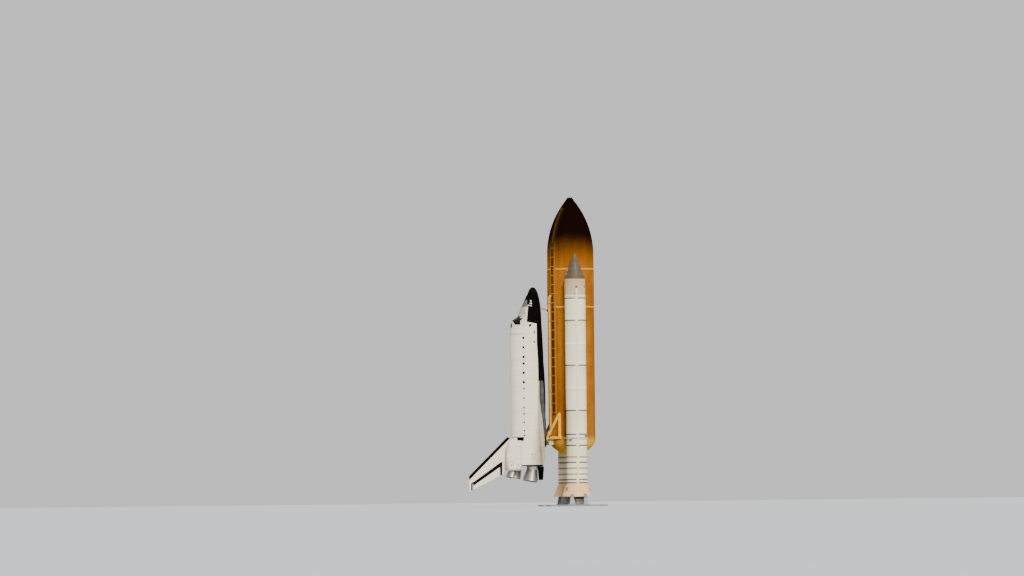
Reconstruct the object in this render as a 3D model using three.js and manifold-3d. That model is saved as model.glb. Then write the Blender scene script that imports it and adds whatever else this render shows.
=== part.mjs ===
// Space shuttle stack, half size: orbiter, external tank and two boosters on their posts and frames.
// Written in full-size millimetres and halved at the end. +Z is up, the orbiter's back looks to -Y and
// starboard is +X. The floor is z = 0, under the middle of the stack's footprint box.
import * as THREE from "three";
import { mergeVertices } from "three/addons/utils/BufferGeometryUtils.js";
import Module from "manifold-3d";

const wasm = await Module();
wasm.setup();

// Driving dimensions
const modelScale = 0.5;
const seam = 0.8; // between pieces that rest on each other
const running = 12; // between a hinged surface and what it swings past
const endGap = 60; // at the ends of a hinged surface

const postHeight = 1750;
const skirtBase = postHeight;

const tank = {
  radius: 4210,
  flangeRadius: 4240,
  spikeTop: 56388,
  coneTop: 55943,
  coneBase: 55156,
  ogiveBase: 45656,
  oxygenBase: 42918, // joint with the intertank
  intertankBase: 36051, // joint with the hydrogen tank
  barrelBase: 12306,
  apex: 9385,
  ogiveRadius: 15540,
  sides: 36,
};

const booster = {
  offset: 6363, // from the tank's axis to the booster's
  radius: 1854,
  tip: 45707,
  capBase: 43802,
  frustumBase: 40980,
  skirtJoint: 37287,
  caseEnd: 4128,
  bandRadius: 1884,
  sides: 24,
};

const orbiter = {
  offset: 8547, // from the tank's axis to the payload bay's centreline
  noseZ: 39764,
  halfWidth: 2590,
  top: 2600,
  bayFront: 8636, // distances aft of the nose tip
  bayEnd: 27203,
  baseEnd: 32385,
};

const finTop = 10310; // above the payload bay's centreline
// Hold-down frame under each booster: the rim of its exhaust opening, with the four posts on it.
const stand = { inner: 2360, outer: 3360, reach: 5200, cross: 700, thick: 300 };
const tankY = (orbiter.offset + finTop - stand.reach) / 2; // puts the origin mid-way, front to back

const paint = {
  foam: [0xb8691c, 0.85, 0],
  booster: [0xe9e6dd, 0.55, 0],
  tile: [0x17171a, 0.7, 0],
  blanket: [0xe6e3dc, 0.9, 0],
  carbon: [0x55565a, 0.6, 0],
  bell: [0x8d8478, 0.35, 0.9],
  steel: [0x8f9296, 0.5, 0.6],
};

// Solids
function solidOf(geometry) {
  const plain = geometry.index ? geometry.toNonIndexed() : geometry;
  const bare = new THREE.BufferGeometry().setAttribute("position", plain.getAttribute("position"));
  const merged = mergeVertices(bare, 1e-2);
  const vertProperties = merged.attributes.position.array;
  const triVerts = new Uint32Array(merged.index.array);
  const made = new wasm.Manifold(new wasm.Mesh({ numProp: 3, vertProperties, triVerts }));
  if (made.volume() > 0) return made;
  for (let i = 0; i < triVerts.length; i += 3) {
    [triVerts[i + 1], triVerts[i + 2]] = [triVerts[i + 2], triVerts[i + 1]];
  }
  return new wasm.Manifold(new wasm.Mesh({ numProp: 3, vertProperties, triVerts }));
}

function geometryOf(solid) {
  const mesh = solid.getMesh();
  const points = new Float32Array(mesh.numVert * 3);
  for (let i = 0; i < mesh.numVert; i++) {
    const from = i * mesh.numProp;
    points.set(mesh.vertProperties.subarray(from, from + 3), i * 3);
  }
  return new THREE.BufferGeometry()
    .setAttribute("position", new THREE.BufferAttribute(points, 3))
    .setIndex(new THREE.BufferAttribute(new Uint32Array(mesh.triVerts), 1));
}

const joined = (...solids) => solids.reduce((a, b) => a.add(b));
const cutBy = (solid, ...tools) => tools.reduce((a, b) => a.subtract(b), solid);

// Rings of equal count, skinned in order and closed by flat ends.
// ends picks the two coordinates of a ring's plane.
function loft(rings, ends) {
  const points = [];
  const faces = [];
  const count = rings[0].length;
  rings.flat().forEach((p) => points.push(...p));
  for (let r = 0; r + 1 < rings.length; r++) {
    for (let i = 0; i < count; i++) {
      const a = r * count + i;
      const b = r * count + ((i + 1) % count);
      faces.push(a, b, b + count, a, b + count, a + count);
    }
  }
  const [u, v] = ends;
  [0, rings.length - 1].forEach((r) => {
    const outline = rings[r].map((p) => new THREE.Vector2(p[u], p[v]));
    const clockwise = THREE.ShapeUtils.isClockWise(outline);
    const start = r * count;
    THREE.ShapeUtils.triangulateShape(clockwise ? outline.reverse() : outline, []).forEach((t) => {
      const [a, b, c] = t.map((i) => start + (clockwise ? count - 1 - i : i));
      faces.push(...((r === 0) === !clockwise ? [a, c, b] : [a, b, c]));
    });
  });
  const geometry = new THREE.BufferGeometry();
  geometry.setAttribute("position", new THREE.Float32BufferAttribute(points, 3));
  return geometry.setIndex(faces);
}

function loftSolid(rings, ends) {
  return solidOf(loft(rings, ends));
}

// A profile of [radius, height] turned about Z.
function turned(profile, sides) {
  const points = profile.map(([r, h]) => new THREE.Vector2(Math.max(r, 0), h));
  return solidOf(new THREE.LatheGeometry(points, sides).rotateX(Math.PI / 2));
}

function block(x0, x1, y0, y1, z0, z1) {
  const geometry = new THREE.BoxGeometry(x1 - x0, y1 - y0, z1 - z0);
  return solidOf(geometry.translate((x0 + x1) / 2, (y0 + y1) / 2, (z0 + z1) / 2));
}

function rod(from, to, radius, sides = 10) {
  const a = new THREE.Vector3(...from);
  const b = new THREE.Vector3(...to);
  const along = b.clone().sub(a);
  const geometry = new THREE.CylinderGeometry(radius, radius, along.length(), sides);
  const upright = new THREE.Vector3(0, 1, 0);
  const turn = new THREE.Quaternion().setFromUnitVectors(upright, along.clone().normalize());
  return solidOf(geometry.applyQuaternion(turn).translate(...a.add(b).multiplyScalar(0.5).toArray()));
}

const stack = new THREE.Group();
const tankGroup = new THREE.Group();
const orbiterGroup = new THREE.Group();
const boosterGroups = { right: new THREE.Group(), left: new THREE.Group() };
tankGroup.position.set(0, tankY, 0);
orbiterGroup.position.set(0, tankY - orbiter.offset, orbiter.noseZ);
boosterGroups.right.position.set(booster.offset, tankY, 0);
boosterGroups.left.position.set(-booster.offset, tankY, 0);
stack.add(tankGroup, orbiterGroup, boosterGroups.right, boosterGroups.left);

function piece(group, name, solid, [color, roughness, metalness]) {
  const material = new THREE.MeshStandardMaterial({ color, roughness, metalness });
  const mesh = new THREE.Mesh(geometryOf(solid), material);
  mesh.name = name;
  group.add(mesh);
}

// External tank. Local origin on its axis at the floor.
function ogiveRadius(z) {
  const d = z - tank.ogiveBase;
  return tank.radius - tank.ogiveRadius + Math.sqrt(tank.ogiveRadius ** 2 - d * d);
}

const ogiveSteps = 7;
function oxygenProfile() {
  const arc = [];
  for (let i = 0; i <= ogiveSteps; i++) {
    const z = tank.ogiveBase + ((tank.coneBase - tank.ogiveBase) * i) / ogiveSteps;
    arc.push([ogiveRadius(z), z]);
  }
  const flange = tank.flangeRadius;
  const low = tank.oxygenBase + seam;
  return [
    [0, low],
    [flange, low],
    [flange, low + 150],
    [tank.radius, low + 150],
    ...arc,
    [430, tank.coneTop],
    [130, tank.coneTop + 130],
    [60, tank.spikeTop],
    [0, tank.spikeTop],
  ];
}

const domeSteps = 5;
function hydrogenProfile() {
  const high = tank.intertankBase - seam;
  const profile = [
    [0, high],
    [tank.flangeRadius, high],
    [tank.flangeRadius, high - 150],
    [tank.radius, high - 150],
  ];
  for (let i = 0; i <= domeSteps; i++) {
    const angle = (Math.PI / 2) * (i / domeSteps);
    const depth = tank.barrelBase - tank.apex;
    const r = i === domeSteps ? 0 : tank.radius * Math.cos(angle);
    profile.push([r, tank.barrelBase - depth * Math.sin(angle)]);
  }
  return profile;
}

const grown = (profile, by) => profile.map(([r, h]) => [r > 0 ? r + by : 0, h]);
const oxygenTank = turned(oxygenProfile(), tank.sides);
const hydrogenTank = turned(hydrogenProfile(), tank.sides);
const intertankProfile = [
  [0, tank.intertankBase],
  [tank.flangeRadius, tank.intertankBase],
  [tank.flangeRadius, tank.intertankBase + 150],
  [tank.radius + 12, tank.intertankBase + 150],
  [tank.radius + 12, tank.oxygenBase - 150],
  [tank.flangeRadius, tank.oxygenBase - 150],
  [tank.flangeRadius, tank.oxygenBase],
  [0, tank.oxygenBase],
];
// What anything fastened to the tank is cut back by.
const tankCutter = joined(
  turned(grown(oxygenProfile(), seam), tank.sides),
  turned(grown(intertankProfile, seam), tank.sides),
  turned(grown(hydrogenProfile(), seam), tank.sides),
);
piece(tankGroup, "tank_oxygen", oxygenTank, paint.foam);
piece(tankGroup, "tank_intertank", turned(intertankProfile, tank.sides), paint.foam);
piece(tankGroup, "tank_hydrogen", hydrogenTank, paint.foam);

// Cable tray and gas lines: a flat strip that follows the tank's outline from the cone to the aft dome.
function cableTray() {
  const outline = new THREE.Shape();
  const heights = [tray.low, tank.ogiveBase];
  for (let i = 1; i <= ogiveSteps; i++) {
    heights.push(tank.ogiveBase + ((tray.top - tank.ogiveBase) * i) / ogiveSteps);
  }
  const reach = (z) => (z > tank.ogiveBase ? ogiveRadius(z) : tank.radius);
  outline.setFromPoints([
    ...heights.map((z) => new THREE.Vector2(reach(z) + tray.depth, z)),
    ...heights.reverse().map((z) => new THREE.Vector2(reach(z) - 80, z)),
  ]);
  const strip = new THREE.ExtrudeGeometry(outline, { depth: tray.width, bevelEnabled: false });
  const angle = THREE.MathUtils.degToRad(tray.angle);
  strip.translate(0, 0, -tray.width / 2).rotateX(Math.PI / 2).rotateZ(angle);
  return cutBy(solidOf(strip), tankCutter);
}

const tray = { angle: -58, width: 400, depth: 170, top: 54000, low: 16600 };

// Oxygen feed line on the starboard side of the orbiter's belly, from the intertank to the aft disconnect.
const feed = { x: 2030, y: -4170, radius: 235, exitZ: 38900, endZ: 12900 };
const disconnect = { x: 1750, y: -4750, z: 12300 };
function feedLine(by = 0) {
  const radius = feed.radius + by;
  const exit = rod([feed.x * 0.8, -3500, feed.exitZ], [feed.x, feed.y, feed.exitZ - 350], radius, 12);
  const run = rod([feed.x, feed.y, feed.exitZ - 250], [feed.x, feed.y, feed.endZ + 100], radius, 12);
  const end = disconnect.z + 330 - by;
  const foot = rod([feed.x, feed.y, feed.endZ + 200], [disconnect.x, disconnect.y, end], radius, 12);
  return joined(exit, run, foot);
}
piece(tankGroup, "tank_cable_tray", cableTray(), paint.foam);

// Where the orbiter is held: one point under the nose, two near the tail.
const foreHold = { z: orbiter.noseZ - 3863, y: -5640 };
const aftHold = { x: 2451, z: 12306, y: -5190 };

function bipod() {
  const knuckle = [0, foreHold.y + 150, foreHold.z];
  const legs = [-1, 1].map((side) => rod([side * 1350, -3900, foreHold.z - 350], knuckle, 85, 8));
  const yoke = block(-170, 170, foreHold.y - 200, foreHold.y + 330, foreHold.z - 150, foreHold.z + 150);
  return cutBy(joined(...legs, yoke), tankCutter);
}

// Aft mount: a post, a long thrust strut and a leg down the tank's side, meeting at the ball fitting.
function aftMount(side, by = 0) {
  const x = side * aftHold.x;
  const ball = [x, aftHold.y + 260, aftHold.z];
  const apex = [side * 3390, -2650, aftHold.z + 4600];
  const post = rod([side * 3620, -2250, aftHold.z - 20], ball, 140 + by, 10);
  const thrust = rod(apex, ball, 190 + by, 10);
  const leg = rod(apex, [apex[0], apex[1], aftHold.z - 20], 130 + by, 10);
  const brace = rod([side * 900, -3950, aftHold.z + 60], ball, 90 + by, 8);
  const half = 210 + by;
  const { y, z } = aftHold;
  const head = block(x - half, x + half, y - 250, y + 420 + by, z - half, z + half);
  return joined(post, thrust, leg, brace, head);
}

const beamHalf = aftHold.x - 210;
function crossbeam() {
  const z = aftHold.z;
  const parts = [block(-beamHalf + 1, beamHalf - 1, -4900, -4650, z - 480, z - 230)];
  [-1, 1].forEach((side) => {
    const x = side * disconnect.x;
    parts.push(rod([side * 1200, -4780, z - 360], [side * 1200, -3300, z - 360], 90, 8));
    parts.push(block(x - 330, x + 330, -5130, -4700, z - 500, z + 320));
  });
  return joined(...parts);
}

// Orbiter. Local z runs forward from the nose tip at 0, so a distance aft is negative; up is -Y.
const at = (side, up, aft) => [side, -up, -aft];
const rounded = (value, power) => Math.sign(value) * Math.abs(value) ** (2 / power);

// aft, half width, height of the widest line, top, bottom, roundness of the top, roundness of the bottom
const forwardSections = [
  [20, 110, -1430, -1330, -1540, 2, 2],
  [160, 390, -1450, -1080, -1830, 2, 2],
  [500, 700, -1480, -790, -2090, 2, 2.1],
  [1050, 1040, -1520, -480, -2310, 2, 2.3],
  [1900, 1440, -1560, -20, -2520, 2, 2.6],
  [3200, 1890, -1560, 560, -2720, 2.1, 3],
  [4700, 2240, -1400, 1010, -2890, 2.2, 3.6],
  [5250, 2330, -1300, 1100, -2940, 2.2, 3.8],
  [5700, 2390, -1150, 1700, -2980, 2.2, 4],
  [6150, 2440, -950, 2300, -3010, 2.2, 4.2],
  [6500, 2480, -800, 2440, -3030, 2.2, 4.4],
  [7300, 2550, -500, 2510, -3070, 2.1, 4.8],
  [orbiter.bayFront, orbiter.halfWidth, 0, orbiter.top, -3130, 2, 6],
];
const capSections = 4; // the first four make the nose cap
const midSections = [
  [orbiter.bayFront, orbiter.halfWidth, 0, orbiter.top, -3130, 2, 6],
  [13000, orbiter.halfWidth, 0, orbiter.top, -3300, 2, 6],
  [20000, orbiter.halfWidth, 0, orbiter.top, -3400, 2, 6],
  [orbiter.bayEnd, orbiter.halfWidth, 0, orbiter.top, -3380, 2, 6],
];
const aftSections = [
  [orbiter.bayEnd, orbiter.halfWidth, 0, orbiter.top, -3380, 2, 6],
  [29700, 2620, 0, 2600, -3340, 2.2, 6],
  [31500, 2650, 0, 2500, -3190, 2.6, 6],
  [orbiter.baseEnd, 2640, 0, 2380, -3060, 3, 6],
];
const hullSides = 28;

function hullRing([aft, half, waist, top, bottom, topRound, bottomRound], by = 0, shift = 0) {
  const ring = [];
  for (let i = 0; i < hullSides; i++) {
    const angle = (2 * Math.PI * i) / hullSides;
    const upper = i <= hullSides / 2;
    const power = upper ? topRound : bottomRound;
    const height = (upper ? top - waist : waist - bottom) + by;
    const side = (half + by) * rounded(Math.cos(angle), power);
    const rise = i % (hullSides / 2) ? Math.sin(angle) : 0;
    ring.push(at(side, waist + height * rounded(rise, power), aft + shift));
  }
  return ring;
}

function hull(sections, by = 0, first = 0, last = 0) {
  const rings = sections.map((s, i) => {
    const shift = i === 0 ? first : i === sections.length - 1 ? -last : 0;
    return hullRing(s, by, shift);
  });
  return loftSolid(rings, [0, 1]);
}

const noseCap = hull(forwardSections.slice(0, capSections), 0, 0, seam);
const forwardFuselage = hull(forwardSections.slice(capSections - 1), 0, 0, seam);
const hullCutter = joined(
  hull(forwardSections.slice(capSections - 1), seam, 0, 0),
  hull(midSections, seam, 0, 0),
  hull(aftSections, seam, 0, -seam),
);

// Payload bay: an open trough with round inner walls, its sills carrying the door hinges.
const bay = { sill: 440, radius: 2330, doorThick: 130, doorGap: 22, arcSteps: 12, doorSteps: 9 };
function bayRing(aft) {
  const ring = [at(3000, 3000, aft), at(-3000, 3000, aft), at(-3000, bay.sill, aft)];
  const lift = Math.asin(bay.sill / bay.radius);
  for (let i = 0; i <= bay.arcSteps; i++) {
    const angle = Math.PI - lift + ((Math.PI + 2 * lift) * i) / bay.arcSteps;
    ring.push(at(bay.radius * Math.cos(angle), bay.radius * Math.sin(angle), aft));
  }
  return [...ring, at(3000, bay.sill, aft)];
}

// Small blocks on the sill that the door hinges sit on.
const sillBlocks = [9400, 13600, 17900, 22200, 26400];
function midFuselage() {
  const hollow = loftSolid([bayRing(orbiter.bayFront - 100), bayRing(orbiter.bayEnd + 100)], [0, 1]);
  const blocks = sillBlocks.flatMap((aft) =>
    [-1, 1].map((side) => {
      const middle = side * 2470;
      const top = bay.sill + bay.doorGap - seam;
      return block(middle - 60, middle + 60, -top, -bay.sill + 40, -aft - 90, -aft + 90);
    }),
  );
  return joined(cutBy(hull(midSections, 0, seam, seam), hollow), ...blocks);
}

function bayDoor(side) {
  const ring = (aft) => {
    const low = Math.asin((bay.sill + bay.doorGap) / orbiter.top);
    const high = Math.acos(8 / orbiter.halfWidth);
    const arc = (inset) => {
      const points = [];
      for (let i = 0; i <= bay.doorSteps; i++) {
        const angle = low + ((high - low) * i) / bay.doorSteps;
        const x = Math.max((orbiter.halfWidth - inset) * Math.cos(angle), 8);
        const up = (orbiter.top - inset) * Math.sin(angle);
        points.push(at(side * x, i === 0 ? bay.sill + bay.doorGap : up, aft));
      }
      return points;
    };
    return [...arc(0), ...arc(bay.doorThick).reverse()];
  };
  return loftSolid([ring(orbiter.bayFront + 40), ring(orbiter.bayEnd - 40)], [0, 1]);
}

// Main engines: gimbal point, pitch away from straight aft towards the back, and yaw outwards.
// name, side, up, aft, pitch and yaw in degrees
const mainEngines = [
  ["main_engine_upper", 0, 1092, 30709, 16, 0],
  ["main_engine_right", 1346, -1457, 31300, 10, 3.5],
  ["main_engine_left", -1346, -1457, 31300, 10, -3.5],
];
const engineWell = { radius: 1080, ball: 200 };
const bellSteps = 5;
function bellCurve(throat, exit, start, end, thick) {
  const outer = [];
  const inner = [];
  for (let i = 0; i <= bellSteps; i++) {
    const t = i / bellSteps;
    const r = throat + (exit - throat) * t ** 0.62;
    outer.push([r + thick, start + (end - start) * t]);
    inner.unshift([r, start + (end - start) * t]);
  }
  return [...outer, ...inner];
}

// A profile of [radius, distance aft of the gimbal], set at the gimbal point and pitched.
function gimballed(profile, [, side, up, aft, pitch, yaw], sides) {
  const points = profile.map(([r, d]) => new THREE.Vector2(r, -d));
  const geometry = new THREE.LatheGeometry(points, sides).rotateX(Math.PI / 2);
  geometry.rotateY(THREE.MathUtils.degToRad(-yaw)).rotateX(THREE.MathUtils.degToRad(-pitch));
  return solidOf(geometry.translate(...at(side, up, aft)));
}

const mainEngineProfile = [
  [0, -engineWell.ball],
  [engineWell.ball * 0.5, -engineWell.ball * 0.866],
  [engineWell.ball * 0.866, -engineWell.ball * 0.5],
  [engineWell.ball, 0],
  [180, 200],
  [760, 330],
  [760, 960],
  [860, 1000],
  [860, 1050],
  [520, 1090],
  ...bellCurve(400, 1150, 1180, 3900, 34),
  [0, 1300],
];
const wellProfile = [
  [0, -engineWell.ball - seam],
  [engineWell.radius, -engineWell.ball - seam],
  [engineWell.radius, 2600],
  [0, 2600],
];

// Manoeuvring engines, one in each tail pod.
const podEngines = [
  ["pod_engine_right", 2235, 2337, 32563, 15.8, 6.5],
  ["pod_engine_left", -2235, 2337, 32563, 15.8, -6.5],
];
const podWell = { radius: 420, ball: 110 };
const podEngineProfile = [
  [0, -podWell.ball],
  [podWell.ball * 0.7, -podWell.ball * 0.7],
  [podWell.ball, 0],
  [110, 90],
  [250, 120],
  [250, 330],
  [120, 400],
  ...bellCurve(100, 545, 450, 1950, 18),
  [0, 520],
];
const podWellProfile = [
  [0, -podWell.ball - seam],
  [podWell.radius, -podWell.ball - seam],
  [podWell.radius, 1500],
  [0, 1500],
];

// Body flap under the engines, and the lugs that carry it.
const flap = { hingeAft: 32760, hingeUp: -2760, nose: 225, halfSpan: 3000, chord: 2200 };
function aftFuselage() {
  const lugs = [-2100, 0, 2100].map((x) => {
    const face = flap.hingeAft - flap.nose - seam;
    return block(x - 110, x + 110, -flap.hingeUp - 130, -flap.hingeUp + 130, -face, -orbiter.baseEnd + 200);
  });
  const wells = mainEngines.map((engine) => gimballed(wellProfile, engine, 20));
  return joined(cutBy(hull(aftSections, 0, seam, 0), ...wells), ...lugs);
}

// A control surface's section: a round nose about the hinge, tapering to a thin trailing edge.
const noseSteps = 6;
function surfaceRing(side, hingeUp, hingeAft, nose, chord, edge) {
  const ring = [];
  for (let i = 0; i <= noseSteps; i++) {
    const angle = Math.PI / 2 + (Math.PI * i) / noseSteps;
    ring.push(at(side, hingeUp + nose * Math.sin(angle), hingeAft + nose * Math.cos(angle)));
  }
  ring.push(at(side, hingeUp - edge, hingeAft + chord), at(side, hingeUp + edge, hingeAft + chord));
  return ring;
}

function flapRing(side) {
  return surfaceRing(side * flap.halfSpan, flap.hingeUp, flap.hingeAft, flap.nose, flap.chord, 35);
}
const bodyFlap = loftSolid([-1, 1].map(flapRing), [1, 2]);

// Wing: half span, leading edge aft of the nose, height of the leading edge, thickness, fullness of the nose
const wingSections = [
  [2200, 8950, -2760, 1250, 1.1],
  [2640, 9050, -2760, 1250, 1.1],
  [3900, 15700, -2740, 1230, 0.95],
  [4600, 19050, -2700, 1180, 0.8],
  [5300, 20560, -2650, 1100, 0.65],
  [8300, 23533, -2460, 740, 0.55],
  [11895, 27127, -2240, 330, 0.5],
];
// The inner panel ends at split, the outer one starts at splitOuter.
const elevon = {
  hingeAft: 29235,
  rootUp: -2800,
  rise: 0.0612,
  inner: 2960,
  split: 7930,
  splitOuter: 7990,
  outer: 11690,
};
const elevonUp = (x) => elevon.rootUp + Math.max(x - elevon.inner, 0) * elevon.rise;
const elevonNose = (x) => 235 - ((x - elevon.inner) * 110) / (elevon.outer - elevon.inner);
const trailingEdge = (x) => 32233 - (x - elevon.inner) * 0.1784;
const wingFractions = [1, 0.8, 0.6, 0.42, 0.27, 0.15, 0.07, 0.02];

function wingRing(side, [x, lead, leadUp, thick, fullness], end, rear) {
  const peak = fullness / (fullness + 1);
  const bulge = (g) => (g ** fullness * (1 - g)) / (peak ** fullness * (1 - peak));
  const thickness = (g) => (thick - rear * peak) * bulge(g) + rear * g;
  const point = (g, sign) => {
    const centre = leadUp + (elevonUp(x) - leadUp) * g;
    return at(side * x, centre + (sign * thickness(g)) / 2, lead + (end - lead) * g);
  };
  const upper = wingFractions.map((g) => point(g, 1));
  const lower = wingFractions.map((g) => point(g, -1)).reverse();
  return [...upper, point(0, 0), ...lower];
}

const bearingSpans = [4300, 6600, 9000, 10800];
function wing(side) {
  const main = wingSections.map((s) => {
    const nose = elevonNose(s[0]);
    return wingRing(side, s, elevon.hingeAft - nose - seam, nose * 2);
  });
  const body = loftSolid(main, [1, 2]);
  const edges = [0, ...bearingSpans.flatMap((x) => [x - 60, x + 60]), elevon.outer + endGap];
  const reliefs = [];
  for (let i = 0; i < edges.length; i += 2) {
    const [x0, x1] = [edges[i] || 2000, edges[i + 1]];
    const face = (x) => elevon.hingeAft - elevonNose(x) - running;
    const plan = [
      [x0, face(x0)],
      [x1, face(x1)],
      [x1, elevon.hingeAft],
      [x0, elevon.hingeAft],
    ];
    const rings = [-1400, -3600].map((up) => plan.map(([x, aft]) => at(side * x, up, aft)));
    reliefs.push(loftSolid(rings, [0, 2]));
  }
  const tipSection = [elevon.outer + endGap, 27127 - 145, -2248, 337, 0.5];
  const tips = [tipSection, wingSections[wingSections.length - 1]];
  const tip = loftSolid(
    tips.map((s) => wingRing(side, s, trailingEdge(s[0]), 40)),
    [1, 2],
  );
  return cutBy(joined(cutBy(body, ...reliefs), tip), hullCutter);
}

function elevonPanel(side, x0, x1) {
  const ring = (x) => {
    const chord = trailingEdge(x) - elevon.hingeAft;
    return surfaceRing(side * x, elevonUp(x), elevon.hingeAft, elevonNose(x), chord, 20);
  };
  return loftSolid([ring(x0), ring(x1)], [1, 2]);
}

// Tail pods beside the fin: aft, side, up, half width, half height
const podSections = [
  [27290, 1500, 1750, 500, 500],
  [27650, 1560, 1900, 900, 1050],
  [28200, 1640, 2020, 1120, 1400],
  [29200, 1720, 2120, 1240, 1560],
  [30600, 1820, 2210, 1300, 1560],
  [31900, 1900, 2290, 1290, 1480],
  [32900, 1960, 2330, 1200, 1330],
  [33150, 1980, 2330, 1080, 1180],
];
// The room that the upper engine needs between the pods when it swings.
const upperRoomProfile = [
  [0, -250],
  [1080, -250],
  [1080, 1300],
  [1560, 3150],
  [0, 3150],
];
const podSides = 20;
const podPower = 2.4; // roundness of a pod's section
const upperRoom = gimballed(upperRoomProfile, mainEngines[0], 20);
function pod(side, engine) {
  const rings = podSections.map(([aft, x, up, half, height]) => {
    const ring = [];
    for (let i = 0; i < podSides; i++) {
      const angle = (2 * Math.PI * i) / podSides;
      const across = x + half * rounded(Math.cos(angle), podPower);
      ring.push(at(side * across, up + height * rounded(Math.sin(angle), podPower), aft));
    }
    return ring;
  });
  return cutBy(loftSolid(rings, [0, 1]), hullCutter, gimballed(podWellProfile, engine, 16), upperRoom);
}

// Fin: leading edge at 45 degrees, with the rudder's space cut out of it.
const fin = { rootUp: 2616, rootLead: 26594, rootTrail: 33110, trailSlope: 0.4931, thick: 0.1 };
const finLead = (up) => fin.rootLead + (up - fin.rootUp);
const finTrail = (up) => fin.rootTrail + (up - fin.rootUp) * fin.trailSlope;
const rudder = {
  lowUp: 4648,
  highUp: 9677,
  lowAft: 32055,
  highAft: 35509,
  pin: 30,
  split: 8,
  noseAngle: 128,
  topDrop: 110,
};
const rudderSlope = (rudder.highAft - rudder.lowAft) / (rudder.highUp - rudder.lowUp);
const rudderTilt = Math.atan(rudderSlope);
const rudderHinge = (up) => rudder.lowAft + (up - rudder.lowUp) * rudderSlope;
const rudderNose = (up) => ((finTrail(up) - finLead(up)) * fin.thick) / 2;

function finRing(up) {
  const lead = finLead(up);
  const chord = finTrail(up) - lead;
  const half = (chord * fin.thick) / 2;
  // share of the chord, share of the half thickness
  const shape = [[0.01, 0.22], [0.06, 0.5], [0.2, 0.76], [0.6, 1], [1, 0.08]];
  const right = shape.map(([c, t]) => at(half * t, up, lead + chord * c));
  const left = shape.map(([c, t]) => at(-half * t, up, lead + chord * c)).reverse();
  return [at(0, up, lead), ...right, ...left];
}

// A prism across the fin, from its outline of [aft, up].
function finPrism(outline) {
  return loftSolid([-900, 900].map((x) => outline.map(([aft, up]) => at(x, up, aft))), [1, 2]);
}

function rudderSpace(up0, up1) {
  const front = (up) => rudderHinge(up) - (rudderNose(up) + running) / Math.cos(rudderTilt);
  return finPrism([[front(up0), up0], [front(up1), up1], [38500, up1], [38500, up0]]);
}

function finBody() {
  const whole = loftSolid([2000, 4000, finTop].map(finRing), [0, 2]);
  const underTrail = finPrism([
    [32300, 1500],
    [32300, 2700],
    [32741, 3660],
    [33960, 4040],
    [35500, 4050],
    [35500, 1500],
  ]);
  const front = orbiter.bayEnd + 60;
  const overDoors = finPrism([[20000, 1500], [front, 1500], [front, 3600], [20000, 3600]]);
  const space = rudderSpace(rudder.lowUp - endGap, rudder.highUp + endGap);
  const pinEnd = (up) => at(0, up, rudderHinge(up));
  const ends = [rudder.lowUp - 2 * endGap, rudder.highUp + 2 * endGap].map(pinEnd);
  const pin = rod(...ends, rudder.pin - seam, 8);
  return joined(cutBy(whole, overDoors, underTrail, space, hullCutter), pin);
}

const rudderSteps = 2;
function rudderPanel(side) {
  const ring = (up, drop) => {
    const low = up - drop;
    const hinge = rudderHinge(low);
    const nose = rudderNose(low);
    const points = [at(side * rudder.pin, low, hinge)];
    for (let i = rudderSteps; i >= 0; i--) {
      const angle = THREE.MathUtils.degToRad(90 + ((rudder.noseAngle - 90) * i) / rudderSteps);
      points.push(at(side * nose * Math.sin(angle), low, hinge + nose * Math.cos(angle)));
    }
    const trail = finTrail(up) - 30;
    return [...points, at(side * 45, up, trail), at(side * rudder.split, up, trail)];
  };
  return loftSolid([ring(rudder.lowUp, 0), ring(rudder.highUp, rudder.topDrop)], [0, 2]);
}

const rightWing = wing(1);
const leftWing = wing(-1);
piece(orbiterGroup, "nose_cap", noseCap, paint.carbon);
piece(orbiterGroup, "forward_fuselage", forwardFuselage, paint.blanket);
piece(orbiterGroup, "mid_fuselage", midFuselage(), paint.blanket);
piece(orbiterGroup, "aft_fuselage", aftFuselage(), paint.blanket);
piece(orbiterGroup, "bay_door_right", bayDoor(1), paint.blanket);
piece(orbiterGroup, "bay_door_left", bayDoor(-1), paint.blanket);
piece(orbiterGroup, "wing_right", rightWing, paint.blanket);
piece(orbiterGroup, "wing_left", leftWing, paint.blanket);
// name, side, inner end, outer end
const elevons = [
  ["elevon_right_inner", 1, elevon.inner, elevon.split],
  ["elevon_right_outer", 1, elevon.splitOuter, elevon.outer],
  ["elevon_left_inner", -1, elevon.inner, elevon.split],
  ["elevon_left_outer", -1, elevon.splitOuter, elevon.outer],
];
elevons.forEach(([name, side, x0, x1]) => {
  piece(orbiterGroup, name, elevonPanel(side, x0, x1), paint.blanket);
});
piece(orbiterGroup, "body_flap", bodyFlap, paint.tile);
piece(orbiterGroup, "pod_right", pod(1, podEngines[0]), paint.blanket);
piece(orbiterGroup, "pod_left", pod(-1, podEngines[1]), paint.blanket);
piece(orbiterGroup, "fin", finBody(), paint.blanket);
piece(orbiterGroup, "rudder_right", rudderPanel(1), paint.blanket);
piece(orbiterGroup, "rudder_left", rudderPanel(-1), paint.blanket);
mainEngines.forEach((e) => piece(orbiterGroup, e[0], gimballed(mainEngineProfile, e, 16), paint.bell));
podEngines.forEach((e) => piece(orbiterGroup, e[0], gimballed(podEngineProfile, e, 12), paint.bell));

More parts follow.
